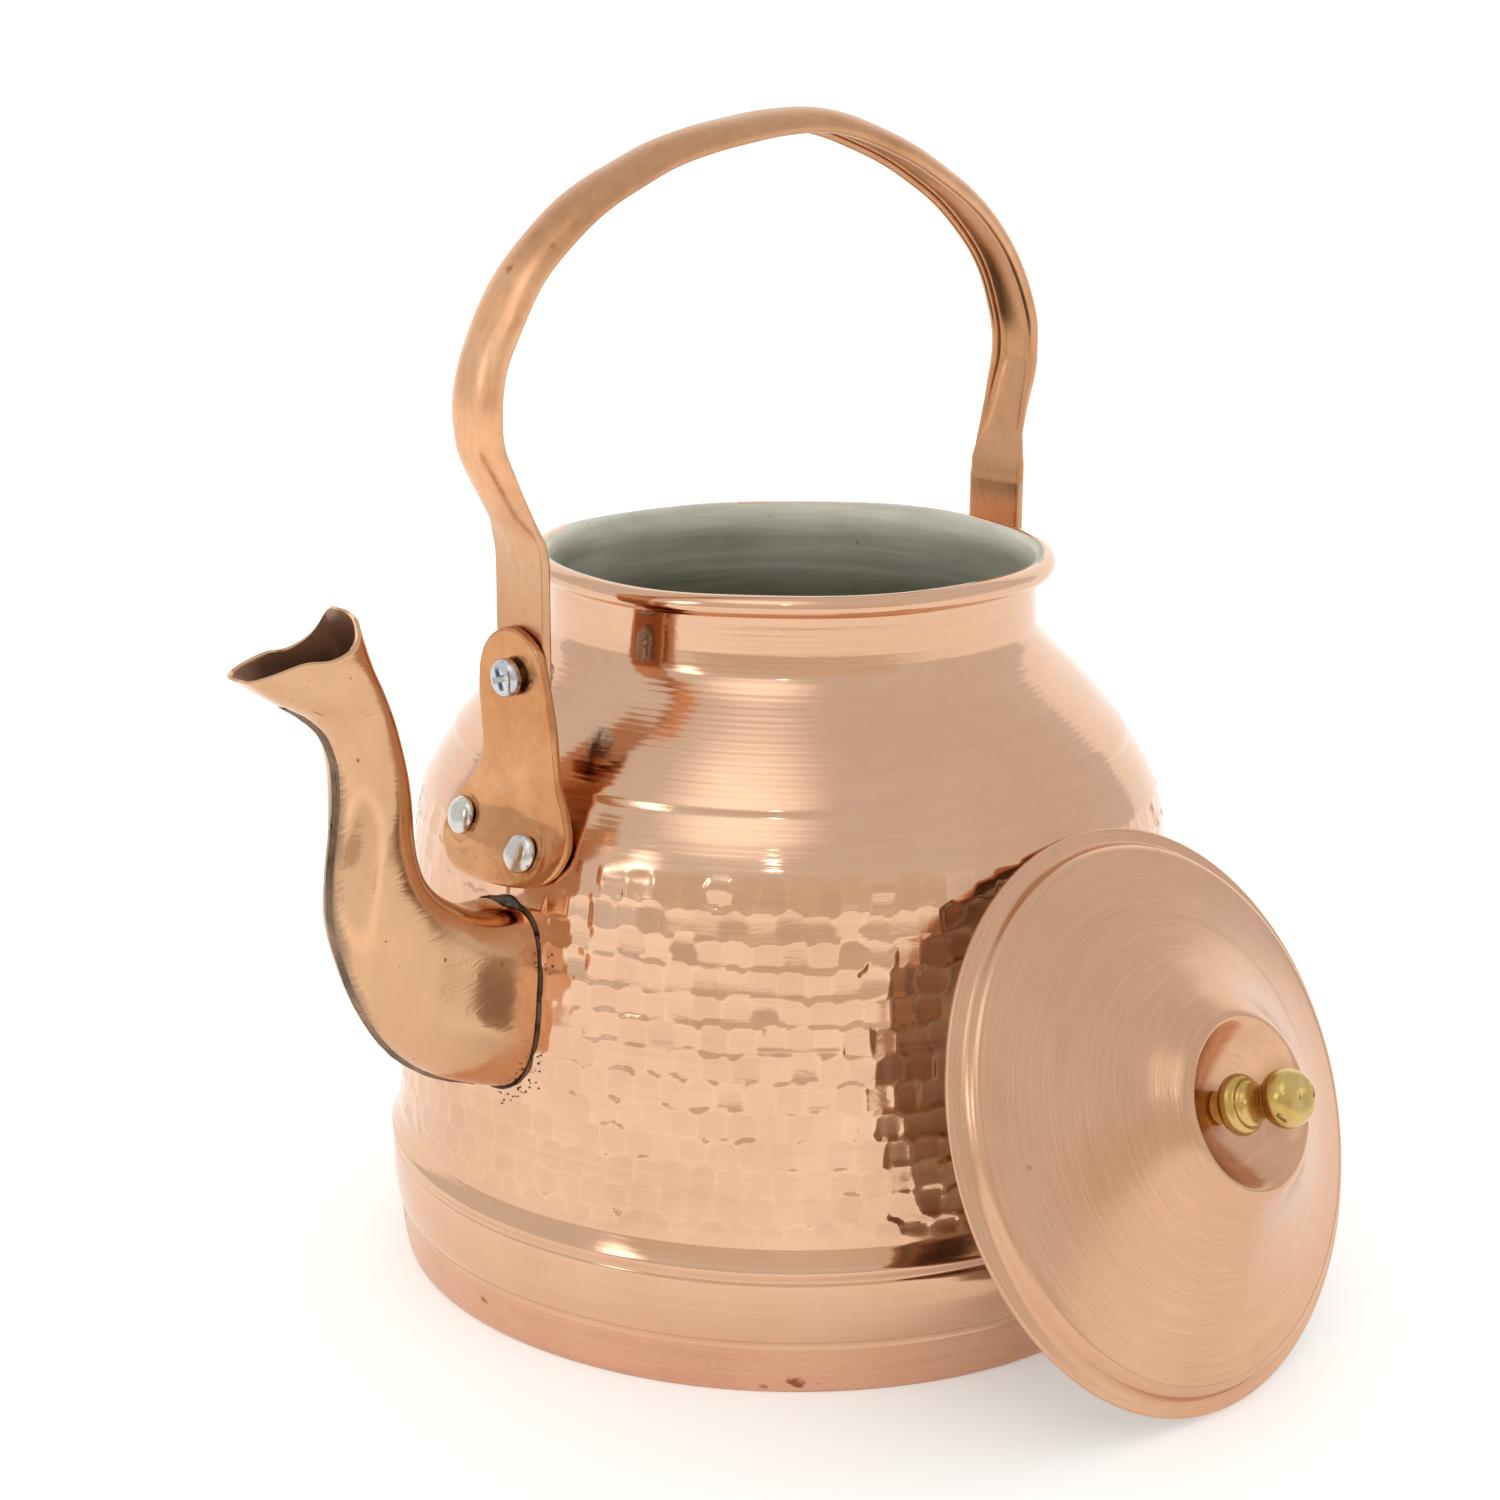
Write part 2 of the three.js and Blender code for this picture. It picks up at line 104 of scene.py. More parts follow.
# a (radius, height) profile with points no further apart than step
def densify(profile, step):
    out = [profile[0]]
    for a, b in zip(profile[:-1], profile[1:]):
        pieces = max(1, math.ceil(math.hypot(b[0] - a[0], b[1] - a[1]) / step))
        out += [(a[0] + (b[0] - a[0]) * k / pieces, a[1] + (b[1] - a[1]) * k / pieces)
                for k in range(1, pieces + 1)]
    return out


# rounds the corners of a profile by corner cutting, ends kept
def soften(profile, rounds):
    for _ in range(rounds):
        cut = [profile[0]]
        for a, b in zip(profile[:-1], profile[1:]):
            cut.append((a[0] * 0.75 + b[0] * 0.25, a[1] * 0.75 + b[1] * 0.25))
            cut.append((a[0] * 0.25 + b[0] * 0.75, a[1] * 0.25 + b[1] * 0.75))
        cut.append(profile[-1])
        profile = cut
    return profile


def gridFaces(rows, columns, wrapRows=False, wrapColumns=True):
    i, j = np.meshgrid(np.arange(rows if wrapRows else rows - 1),
                       np.arange(columns if wrapColumns else columns - 1), indexing="ij")
    i2, j2 = (i + 1) % rows, (j + 1) % columns
    quads = np.stack([i * columns + j, i * columns + j2, i2 * columns + j2, i2 * columns + j], -1)
    return quads.reshape(-1, 4)


# a mesh object that rides on a body and stands for a CAD node
def makePiece(name, points, faces, body, stands, materials, sharp=35, matrix=None,
              slots=None, marks=None):
    mesh = bpy.data.meshes.new(name)
    points = np.asarray(points, float).reshape(-1, 3)
    mesh.from_pydata((points * mm).tolist(), [], [list(map(int, f)) for f in faces])
    mesh.update()
    mesh.validate()
    piece = bpy.data.objects.new(name, mesh)
    bpy.context.scene.collection.objects.link(piece)
    outward(mesh)
    for key, values in (marks or {}).items():
        mesh.attributes.new(key, "FLOAT", "POINT").data.foreach_set("value", np.ravel(values))
    for material in materials:
        mesh.materials.append(material)
    if slots is not None:
        mesh.polygons.foreach_set("material_index", np.asarray(slots, np.int32))
    mesh.shade_smooth()
    mesh.set_sharp_from_angle(angle=math.radians(sharp))
    if matrix:
        piece.matrix_world = matrix
    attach(piece, body)
    if stands:
        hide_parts(stands)
    return piece


# turns the faces outward if the closed mesh is inside out
def outward(mesh):
    mesh.calc_loop_triangles()
    tris = np.empty(len(mesh.loop_triangles) * 3, np.int32)
    mesh.loop_triangles.foreach_get("vertices", tris)
    co = np.empty(len(mesh.vertices) * 3)
    mesh.vertices.foreach_get("co", co)
    a, b, c = (co.reshape(-1, 3)[tris.reshape(-1, 3)[:, k]] for k in range(3))
    volume = np.einsum("ij,ij->i", a, np.cross(b, c)).sum()
    if volume < 0:
        mesh.flip_normals()


# points and faces of a profile turned about +Z, closed at both ends on the axis
def turnedMesh(profile, segments):
    rings = [p for p in profile if p[0] > 1e-4]
    theta = np.arange(segments) * 2 * math.pi / segments
    r, z = np.array(rings).T
    points = np.stack([r[:, None] * np.cos(theta), r[:, None] * np.sin(theta),
                       np.repeat(z[:, None], segments, 1)], -1).reshape(-1, 3)
    faces = gridFaces(len(rings), segments).tolist()
    if profile[0][0] <= 1e-4:
        points = np.vstack([points, [0, 0, profile[0][1]]])
        faces += [[k, len(points) - 1, (k + 1) % segments] for k in range(segments)]
    if profile[-1][0] <= 1e-4:
        base = (len(rings) - 1) * segments
        points = np.vstack([points, [0, 0, profile[-1][1]]])
        faces += [[base + k, base + (k + 1) % segments, len(points) - 1] for k in range(segments)]
    return points, faces


# places a piece turned about +Z so that its axis runs along direction
def nearRotation(direction, origin):
    turn = Vector(direction).to_track_quat("Z", "Y").to_matrix().to_4x4()
    return Matrix.Translation(Vector(origin) * mm) @ turn


# a noise coordinate that runs in rings round the piece's own +Z axis
def turnedCoordinate(tree, lines, drift):
    place = addNode(tree, "TexCoord").outputs["Object"]
    apart = addNode(tree, "SeparateXYZ", links={0: place})
    flat = addNode(tree, "VectorMath", {"operation": "MULTIPLY", 1: (1, 1, 0)}, {0: place}).outputs[0]
    reach = addNode(tree, "VectorMath", {"operation": "LENGTH"}, {0: flat}).outputs["Value"]
    across = maths(tree, "MULTIPLY", maths(tree, "SUBTRACT", reach, apart.outputs["Z"]), lines)
    bearing = addNode(tree, "VectorMath", {"operation": "NORMALIZE"}, {0: flat}).outputs[0]
    turn = addNode(tree, "SeparateXYZ", links={0: bearing})
    east, north = [maths(tree, "MULTIPLY", turn.outputs[axis], drift) for axis in ("X", "Y")]
    return addNode(tree, "CombineXYZ", links={"X": across, "Y": east, "Z": north}).outputs[0]


def plainCoordinate(tree, scale=(1, 1, 1)):
    place = addNode(tree, "TexCoord").outputs["Object"]
    return addNode(tree, "VectorMath", {"operation": "MULTIPLY", 1: scale}, {0: place}).outputs[0]


def noiseNode(tree, coordinate, scale, detail=3, roughness=0.55, distortion=0):
    return addNode(tree, "TexNoise", {
        "Scale": scale, "Detail": detail, "Roughness": roughness, "Distortion": distortion},
        {"Vector": coordinate}).outputs["Fac"]


def mixValues(tree, low, high, source, fromMin=0.3, fromMax=0.7):
    return addNode(tree, "MapRange", {
        "From Min": fromMin, "From Max": fromMax, "To Min": low, "To Max": high},
        {"Value": source}).outputs["Result"]


def mixColours(tree, base, hexText, share):
    return addNode(tree, "Mix", {"data_type": "RGBA", 7: colour(hexText)},
                   {0: share, 6: base}).outputs[2]


def dimmed(tree, base, factor):
    return addNode(tree, "VectorMath", {"operation": "SCALE"}, {0: base, "Scale": factor}).outputs[0]


# values that a mesh carries at its points
def markNodes(tree, *names):
    return [addNode(tree, "Attribute", {"attribute_name": name}).outputs["Fac"] for name in names]


flux = {"fine": 1.1, "coarse": 0.06, "reach": -11.0, "cover": 0.62, "full": -1.4, "none": 1.2}


# burnt flux that reaches in from the seam in fine strokes, more in some stretches than others
def fluxStain(tree):
    along, across = markNodes(tree, "along", "across")
    dashes = addNode(tree, "CombineXYZ", links={"X": along}).outputs[0]
    stroke = noiseNode(tree, dashes, flux["fine"], 3, 0.7)
    patch = noiseNode(tree, dashes, flux["coarse"], 1, 0.5)
    edge = maths(tree, "MULTIPLY_ADD", maths(tree, "MULTIPLY", stroke, patch), flux["reach"], across)
    return mixValues(tree, flux["cover"], 0, edge, flux["full"], flux["none"])


wear = {"coarseLines": 0.23, "coarseShare": 0.6, "smearScale": 2.7, "spotEdge": 0.05, "spotRough": 0.25,
        "stainRough": 0.3, "ridgeShare": 0.8, "scratchCurl": 1.2, "scratchDepth": 0.02}


# tool lines, and stray scratches cut over them
def toolRelief(tree, look, line, coarse):
    height = maths(tree, "MULTIPLY_ADD", coarse, wear["coarseShare"], line)
    tooled = addNode(tree, "Bump", {"Strength": look["bump"], "Distance": look["bumpDepth"] * mm},
                     {"Height": height}).outputs[0]
    stretched = plainCoordinate(tree, look["scratchStretch"])
    scratch = noiseNode(tree, stretched, 1, 2, 0.5, wear["scratchCurl"])
    cut = mixValues(tree, 1, 0, maths(tree, "PINGPONG", scratch, 0.5), 0.42, 0.5)
    return addNode(tree, "Bump", {
        "Strength": look["scratch"], "Distance": wear["scratchDepth"] * mm, "invert": True},
        {"Height": cut, "Normal": tooled}).outputs[0]


# worked metal: blotched colour, smeared polish, tool lines and stray scratches
def metalMaterial(name, look):
    material = bpy.data.materials.new(name)
    material.use_nodes = True
    tree = material.node_tree
    tree.nodes.clear()
    blotch = noiseNode(tree, plainCoordinate(tree), look["blotchScale"], 5, 0.6, 0.4)
    tone = rampNode(tree, blotch, look["tones"])
    if look["lines"]:
        ringed = turnedCoordinate(tree, look["lines"], look["drift"])
    else:
        ringed = plainCoordinate(tree, look["grain"])
    line = noiseNode(tree, ringed, 1, 4, 0.65)
    coarse = noiseNode(tree, ringed, wear["coarseLines"], 2, 0.5)
    spots = noiseNode(tree, plainCoordinate(tree), look["spotScale"], 3, 0.5)
    spotMask = mixValues(tree, 0, 1, spots, look["spotFrom"], look["spotFrom"] + wear["spotEdge"])
    spotted = mixColours(tree, tone, look["spotTone"], spotMask)
    lined = dimmed(tree, spotted, mixValues(tree, 1 - look["lineTint"], 1, line, 0.35, 0.65))
    if look["blows"]:
        # the tone and ridge marks lighten or darken the colour: random tones, rubbed ridges that on the
        # body also stand for a painted highlight, and the handle's painted highlight and darker
        # stretches
        own, ridge = markNodes(tree, "tone", "ridge")
        wornAndPaintedLight = maths(tree, "MULTIPLY_ADD", ridge, wear["ridgeShare"], own)
        lined = dimmed(tree, lined, mixValues(tree, 1 - look["blows"], 1 + look["blows"], wornAndPaintedLight, 0, 1.3))
    smear = noiseNode(tree, plainCoordinate(tree), look["blotchScale"] * wear["smearScale"], 4, 0.6)
    polish = maths(tree, "ADD", smear, line)
    rough = mixValues(tree, look["rough"][0], look["rough"][1], polish, 0.7, 1.3)
    rough = maths(tree, "MULTIPLY_ADD", spotMask, wear["spotRough"], rough)
    if look["stain"]:
        stain = fluxStain(tree)
        lined = mixColours(tree, lined, look["stain"], stain)
        rough = maths(tree, "MULTIPLY_ADD", stain, wear["stainRough"], rough)
    shader = addNode(tree, "BsdfPrincipled", {"Metallic": look["metallic"]}, {
        "Base Color": lined, "Roughness": rough, "Normal": toolRelief(tree, look, line, coarse)})
    if look["brushed"]:
        shader.inputs["Anisotropic"].default_value = look["brushed"]
        ringway = addNode(tree, "Tangent", {"direction_type": "RADIAL", "axis": "Z"})
        tree.links.new(ringway.outputs[0], shader.inputs["Tangent"])
    addNode(tree, "OutputMaterial", links={"Surface": shader.outputs[0]})
    return material


# lines and drift shape turned tool marks, grain the marks of flat work, blows the tones a mesh carries:
# hammered tones on the body, painted highlight and darker stretches on the handle
baseLook = {"blotchScale": 22, "tones": [(0.3, "#dbad8e"), (0.7, "#e4bb9c")], "lines": 2200,
            "drift": 1.6, "grain": (400, 400, 400), "lineTint": 0.07, "spotScale": 160,
            "spotFrom": 0.74, "spotTone": "#a4664a", "rough": (0.06, 0.15), "bump": 0.25,
            "bumpDepth": 0.03, "scratch": 0.2, "scratchStretch": (90, 90, 210), "stain": None,
            "blows": 0, "brushed": 0, "metallic": 1}


def lookOf(**changes):
    return {**baseLook, **changes}


# spun copper: rings of fine tool lines give long level streaks in the reflections
spunCopper = metalMaterial("copper_spun_and_buffed", lookOf(blows=0.06))
# lathe-brushed copper: coarser rings scatter the light into a satin fan
lidCopper = metalMaterial("copper_lathe_brushed", lookOf(
    lines=3400, bump=0.4, bumpDepth=0.03, rough=(0.16, 0.28), lineTint=0.16, brushed=0.6,
    tones=[(0.3, "#d9a988"), (0.7, "#e2b594")]))
# flat rolled copper: broad soft reflections with handling marks and a flux stain by the seam
sheetCopper = metalMaterial("copper_flat_rolled", lookOf(
    lines=0, grain=(120, 120, 90), rough=(0.09, 0.18), bump=0.05, blows=0.13,
    tones=[(0.3, "#d3a37c"), (0.7, "#dfb48d")], scratch=0.35, spotScale=420, spotFrom=0.7,
    spotTone="#8a5f3e", stain="#6a5f56"))
# drawn and filed copper: warmer, satin, with rub marks and tarnish; its blows value scales the painted
# highlight and darker stretches that the handle carries in its tone mark
filedCopper = metalMaterial("copper_filed_strap", lookOf(
    lines=0, grain=(260, 900, 260), rough=(0.24, 0.4), bump=0.35, blows=0.16, bumpDepth=0.05,
    tones=[(0.3, "#b88658"), (0.44, "#d9a278"), (0.75, "#e8bc96")], lineTint=0.12,
    spotScale=90, spotFrom=0.72, spotTone="#9c6440", scratch=0.4))
# lug plate: rolled copper, scuffed and scratched, more orange than the rest
lugCopper = metalMaterial("copper_lug_scuffed", lookOf(
    lines=0, grain=(300, 300, 300), rough=(0.16, 0.3), bump=0.3, bumpDepth=0.06,
    tones=[(0.25, "#c08050"), (0.5, "#d09566"), (0.8, "#dba97e")], scratch=1.0, lineTint=0.1,
    blotchScale=60, scratchStretch=(160, 160, 120)))
# foot band: same sheet, left dull by the wheel
footCopper = metalMaterial("copper_foot_dull", lookOf(
    lines=1500, rough=(0.22, 0.36), bump=0.4, bumpDepth=0.05,
    tones=[(0.3, "#d9a688"), (0.7, "#e6b698")], lineTint=0.12, spotFrom=0.68))
# inside of the spout: browned by heat
brownedCopper = metalMaterial("copper_heat_browned", lookOf(
    lines=0, grain=(300, 300, 300), rough=(0.35, 0.5), bump=0.3, metallic=0.7,
    tones=[(0.3, "#86604a"), (0.7, "#b08a70")]))
# wiped tin lining: grey, cloudy and a little greenish
wipedTin = metalMaterial("tin_wiped_lining", lookOf(
    lines=420, drift=1.4, tones=[(0.25, "#c6c5b2"), (0.55, "#d9d8c8"), (0.8, "#e6e4d8")],
    rough=(0.34, 0.5), bump=0.3, bumpDepth=0.05, spotTone="#8f8f84", lineTint=0.24, metallic=0.55))
# tin under the lid: thinner and more polished, it mirrors the copper beside it
lidTin = metalMaterial("tin_polished_thin", lookOf(
    lines=1400, drift=2, tones=[(0.25, "#b9aa98"), (0.75, "#d6c8b6")], rough=(0.2, 0.34), bump=0.3,
    spotTone="#8c7c6a", lineTint=0.1))
# soft solder with burnt flux: dark and lumpy
fluxedSolder = metalMaterial("solder_with_flux", lookOf(
    lines=0, grain=(500, 500, 500), blotchScale=260,
    tones=[(0.3, "#35302c"), (0.5, "#5f564e"), (0.75, "#8b8075")], rough=(0.3, 0.55), bump=0.6,
    bumpDepth=0.1, spotScale=500, spotFrom=0.62, spotTone="#1f1c1a", scratch=0.2, metallic=0.85))
# lapped seam: copper gone grey with solder, streaked lengthwise
seamCopper = metalMaterial("copper_seam_tinned", lookOf(
    lines=0, grain=(900, 900, 160), blotchScale=90,
    tones=[(0.3, "#54473f"), (0.5, "#7d6a5a"), (0.75, "#b48f70")], rough=(0.2, 0.4), bump=0.6,
    bumpDepth=0.06, spotScale=600, spotFrom=0.68, spotTone="#3a332e", scratch=0.3))
# headed aluminium: pale with hammer bruises
headedAluminium = metalMaterial("aluminium_headed_rivet", lookOf(
    lines=0, grain=(700, 700, 700), blotchScale=200, tones=[(0.3, "#c6c2bb"), (0.7, "#e2dfda")],
    rough=(0.14, 0.3), bump=0.3, bumpDepth=0.05, spotScale=420, spotFrom=0.68, spotTone="#8d867d"))
# bright zinc plating
zincPlate = metalMaterial("steel_zinc_plated", lookOf(
    lines=0, grain=(800, 800, 800), blotchScale=160, tones=[(0.3, "#bcc2c8"), (0.7, "#d9dde1")],
    rough=(0.14, 0.28), bump=0.25, spotScale=380, spotFrom=0.68, spotTone="#6b6e73"))
# turned brass, a little green in the grooves
turnedBrass = metalMaterial("brass_turned_knob", lookOf(
    lines=2600, drift=1.2, blotchScale=90, tones=[(0.25, "#ae8b45"), (0.5, "#cdac65"), (0.8, "#e0c690")],
    rough=(0.16, 0.32), bump=0.4, bumpDepth=0.03, spotScale=330, spotFrom=0.66, spotTone="#7d6836"))
print("materials made")


body = {
    "columns": 840, "step": 0.6, "insideStep": 2.6, "wall": 1.4, "footTop": 10.5, "footRow": 8,
    "rimRadius": 56.1, "rimHeight": 158.6, "rimWave": 0.22,
    "beadRadius": 2.35, "beadFrom": -130, "beadTo": 164, "beadPoints": 22, "tinRow": 10,
    "ridgePitch": 1.05, "ridgeDepth": 0.035, "restartHeight": 75.6, "restartDepth": 0.05,
    "bottomRings": 6.5, "bottomDepth": 0.14, "insideRadius": 50,
}
blows = {
    "top": 108.4, "foot": 33.2, "rows": 12.6, "rowHeight": 5.9, "around": 95, "depth": 0.115,
    "reach": 3.1, "disc": 3.45, "square": 2.7, "tilt": 0.034, "jitter": 0.07, "ridge": 0.55, "far": 99.0,
}
# outside from the foot to the neck: foot band, base ring, belly, spun ledge, groove, shoulder
bodyOutline = [
    (88.6, 0), (89.7, 1.4), (90.6, 10.4), (90.2, 11.4), (91.3, 12.9), (91.9, 17.2), (91.9, 25),
    (91.3, 26.2), (92.3, 27.9), (91.3, 29.6), (89.8, 33.7), (89.5, 50), (87.9, 70), (85.8, 90),
    (84.4, 101), (82.9, 108.4), (80, 114), (76.6, 119), (75.9, 120), (75.4, 121.6),
    (71.4, 126.2), (67, 131), (62, 136), (57.9, 140), (55.4, 143), (54.6, 146), (54.3, 155),
]
outlineRadius, outlineHeight = np.array(bodyOutline).T


def bodyRadius(height):
    return np.interp(height, outlineHeight, outlineRadius)


# the planishing blows: rows of shallow dishes, each row cutting into the one above it; gives the depth,
# each blow's own tone and the ridge round it, which the material paints lighter, partly as rubbed wear
# and partly as a painted highlight along the blow edges
def hammerMarks(theta, z, rng):
    depth, tone, ridge = np.zeros(theta.shape), np.full(theta.shape, 0.5), np.zeros(theta.shape)
    nearest = np.full(theta.shape, blows["far"])
    power, disc = blows["square"], blows["disc"]
    for k in range(int(math.ceil(blows["rows"]))):
        n = blows["around"] + int(rng.integers(-1, 2))
        pitch = 2 * math.pi / n
        start = pitch * (0.5 * (k % 2) + rng.uniform(-0.2, 0.2))
        shove = rng.normal(0, blows["jitter"], (n, 2)) * (1, 0.7)
        lean = rng.normal(0, blows["tilt"], (n, 2))
        deep = blows["depth"] * rng.uniform(0.75, 1.3, n)
        shade = rng.uniform(0, 1, n)
        centreZ = blows["top"] - (k + 0.5) * blows["rowHeight"]
        near = np.flatnonzero(np.abs(z - centreZ) < blows["rowHeight"] * 1.3)
        t, h = theta[near], z[near]
        radius = bodyRadius(h)
        first, second = np.full(t.shape, blows["far"]), np.full(t.shape, blows["far"])
        low, own = np.zeros(t.shape), np.zeros(t.shape)
        for step in (-1, 0, 1):
            j = np.round((t - start) / pitch).astype(int) + step
            blow = j % n
            dx = ((t - start - j * pitch) - shove[blow, 0] * pitch) * radius
            dz = h - centreZ - shove[blow, 1] * blows["rowHeight"]
            away = (np.abs(dx) ** power + np.abs(dz) ** power) ** (1 / power)
            dish = -deep[blow] * (1 - (away / blows["reach"]) ** 3) \
                + lean[blow, 0] * dx + lean[blow, 1] * dz
            closer = away < first
            second = np.where(closer, first, np.minimum(second, away))
            low, own = np.where(closer, dish, low), np.where(closer, shade[blow], own)
            first = np.where(closer, away, first)
        take = (first < disc) | (first < nearest[near])
        border = np.minimum(second - first, np.abs(disc - first) * 1.4)
        taken = near[take]
        depth[taken], tone[taken], nearest[taken] = low[take], own[take], first[take]
        ridge[taken] = np.exp(-(border[take] / blows["ridge"]) ** 2)
    return depth, tone, ridge


# bottom, outside, rolled rim and inside of the sheet, in the order that closes it
def bodyProfile():
    bottom = [(r, 0) for r in (0, 12, 24, 36, 48, 60, 70, 78, 84, 87)]
    outside = densify(soften(bodyOutline, 1), body["step"])
    sweep = np.radians(np.linspace(body["beadFrom"], body["beadTo"], body["beadPoints"]))
    bead = [(body["rimRadius"] + body["beadRadius"] * math.cos(a),
             body["rimHeight"] + body["beadRadius"] * math.sin(a)) for a in sweep]
    inside = [(0, 2), (40, 2), (84, 2), (89.4, 5), (90.3, 14)]
    for r, z in bodyOutline[1:]:
        if z > 30:
            slope = bodyRadius(z + 1.5) - bodyRadius(z - 1.5)
            reach = math.hypot(slope, 3)
            inside.append((r - body["wall"] * 3 / reach, z + body["wall"] * slope / reach))
    inside[-1] = (52.9, 156)
    return bottom, outside, bead, densify(soften(inside, 1), body["insideStep"])[::-1]


# how far the hand work stands off the turned shape, and each blow's tone and ridge
def workedSurface(theta, z, radius, outer):
    lift, tone, ridge = np.zeros(len(z)), np.full(len(z), 0.5), np.zeros(len(z))
    band = outer & (z < blows["top"] + 2) & (z > blows["top"] - blows["rowHeight"] * blows["rows"])
    fade = np.clip((z - blows["foot"]) / 2.5, 0, 1) * np.clip((blows["top"] + 1 - z) / 1.5, 0, 1)
    deep, blowTone, blowRidge = hammerMarks(theta[band], z[band], np.random.default_rng(11))
    lift[band] = deep * fade[band]
    tone[band] = 0.5 + (blowTone - 0.5) * fade[band]
    ridge[band] = blowRidge * fade[band]
    # spinning ridges on the ledge, the shoulder and the neck
    spun = outer & (((z > 109) & (z < 118.5)) | ((z > 123) & (z < 154)))
    wander = 0.35 * np.sin(2 * theta + z * 0.2) + 0.2 * np.sin(5 * theta)
    lift[spun] += body["ridgeDepth"] * np.sin((z[spun] + wander[spun] * 0.4) * 2 * math.pi
                                            / body["ridgePitch"])
    # the line where the planishing was started again
    lift[band] -= body["restartDepth"] * np.exp(-((z[band] - body["restartHeight"]) / 0.45) ** 2)
    # hand-held work is never quite round
    wobble = 0.12 * np.sin(3 * theta + 0.6) + 0.08 * np.sin(5 * theta + z / 30) \
        + 0.05 * np.sin(9 * theta - z / 17)
    return lift + np.where(radius > body["insideRadius"], wobble, 0), tone, ridge


# copper outside, tin inside and over the rim's inner half with a ragged edge, dull foot band
def bodySlots(faces, points, theta, copperRows, beadRow):
    columns = body["columns"]
    starts = np.array([face[0] for face in faces])
    slots = (starts >= (copperRows - 1) * columns).astype(int)
    low = points[starts, 2] < body["footTop"]
    slots[(starts > body["footRow"] * columns) & low & (slots == 0)] = 2
    bearing = theta[starts]
    ragged = body["rimRadius"] - 0.2 + 0.5 * np.sin(5 * bearing) + 0.35 * np.sin(17 * bearing + 1)
    innerBead = starts > (beadRow + body["tinRow"]) * columns
    slots[innerBead & (np.hypot(*points[starts, :2].T) < ragged)] = 1
    return slots


def kettleBody():
    bottom, outside, bead, inside = bodyProfile()
    beadRow = len(bottom) + len(outside)
    copperRows = beadRow + len(bead) - 1
    points, faces = turnedMesh(bottom + outside + bead + inside, body["columns"])
    x, y, z = points.T.copy()
    radius, theta = np.hypot(x, y), np.arctan2(y, x) % (2 * math.pi)
    upright = radius > body["insideRadius"]
    outer = (np.arange(len(points)) < copperRows * body["columns"]) & upright
    lift, tone, ridge = workedSurface(theta, z, radius, outer)
    bottomInside = ~outer & (z > 1.5) & (z < 6) & (radius < 86)
    z = z + bottomInside * body["bottomDepth"] * np.cos(radius * 2 * math.pi / body["bottomRings"])
    rim = np.clip((z - 150) / 8, 0, 1) * upright
    wave = rim * body["rimWave"] * (np.sin(3 * theta + 1) + 0.6 * np.sin(7 * theta))
    scale = np.where(radius > 1, (radius + lift) / np.maximum(radius, 1), 1)
    points = np.stack([x * scale, y * scale, z + wave], -1)
    slots = bodySlots(faces, points, theta, copperRows, beadRow)
    return points, faces, slots, {"tone": tone, "ridge": ridge}


points, faces, slots, marks = kettleBody()
makePiece("spun_body", points, faces, "kettle", "body_shell",
          [spunCopper, wipedTin, footCopper], slots=slots, sharp=60, marks=marks)
print("body made", len(faces))


spout = {"around": 128, "along": 200, "wall": 1.1, "frontPower": 0.82, "backPower": 0.6,
         "sunk": 0.7, "lipRise": 0.35, "panelDepth": 0.6, "panelRun": 0.517, "panelLong": 0.118,
         "panelWide": 0.56, "panelShift": 0.7, "panelTone": 0.5, "dressing": 0.1}
# front x z, back x z, half width, root to just under the mouth
spoutRows = [
    (-88, 57.2, -87, 96.9, 12.4), (-97, 60.4, -94, 97.9, 11.3), (-106.5, 65, -100.8, 101.2, 10.2),
    (-115, 71.8, -105.6, 104.8, 9.2), (-121.6, 81.2, -108.6, 109, 8.3),
    (-126, 91.6, -110, 113.8, 7.6), (-128.6, 102.5, -110.4, 118.6, 7.2),
    (-128.4, 112, -110.5, 122.6, 7), (-127, 120.5, -110.8, 126.6, 6.9),
    (-126.2, 128, -111.4, 130.8, 6.8), (-126.6, 134.8, -112.6, 136, 6.8),
    (-128.8, 140.4, -114.3, 142, 6.9), (-133.4, 144.9, -116.6, 148.2, 7.2),
    (-140, 148.9, -119.2, 154.2, 7.5),
]
# half of the beaked mouth, tip to peak
mouthRows = [(-148, 0, 154.5), (-147.7, 3.5, 154.7), (-144.6, 5.8, 155.6), (-137.4, 7.1, 157),
             (-131.4, 7.9, 156.8), (-126.6, 7.7, 158.1), (-124.1, 6.8, 160.4), (-123.2, 5, 163.2),
             (-123.4, 2.6, 164.6), (-123.7, 0, 164.8)]


def spoutRing(row, growth):
    frontX, frontZ, backX, backZ, half = row
    centre = np.array([(frontX + backX) / 2, 0, (frontZ + backZ) / 2])
    reach = np.array([frontX, 0, frontZ]) - centre
    length = np.linalg.norm(reach)
    reach *= (length + growth) / length
    angle = np.arange(spout["around"]) * 2 * math.pi / spout["around"]
    # rounded towards the seam, squarer towards the back
    power = spout["backPower"] + (spout["frontPower"] - spout["backPower"]) * (1 + np.cos(angle)) / 2
    soft = [np.sign(v) * np.abs(v) ** power for v in (np.cos(angle), np.sin(angle))]
    return centre + soft[0][:, None] * reach \
        + (soft[1] * (half + growth))[:, None] * np.array([0, 1, 0])


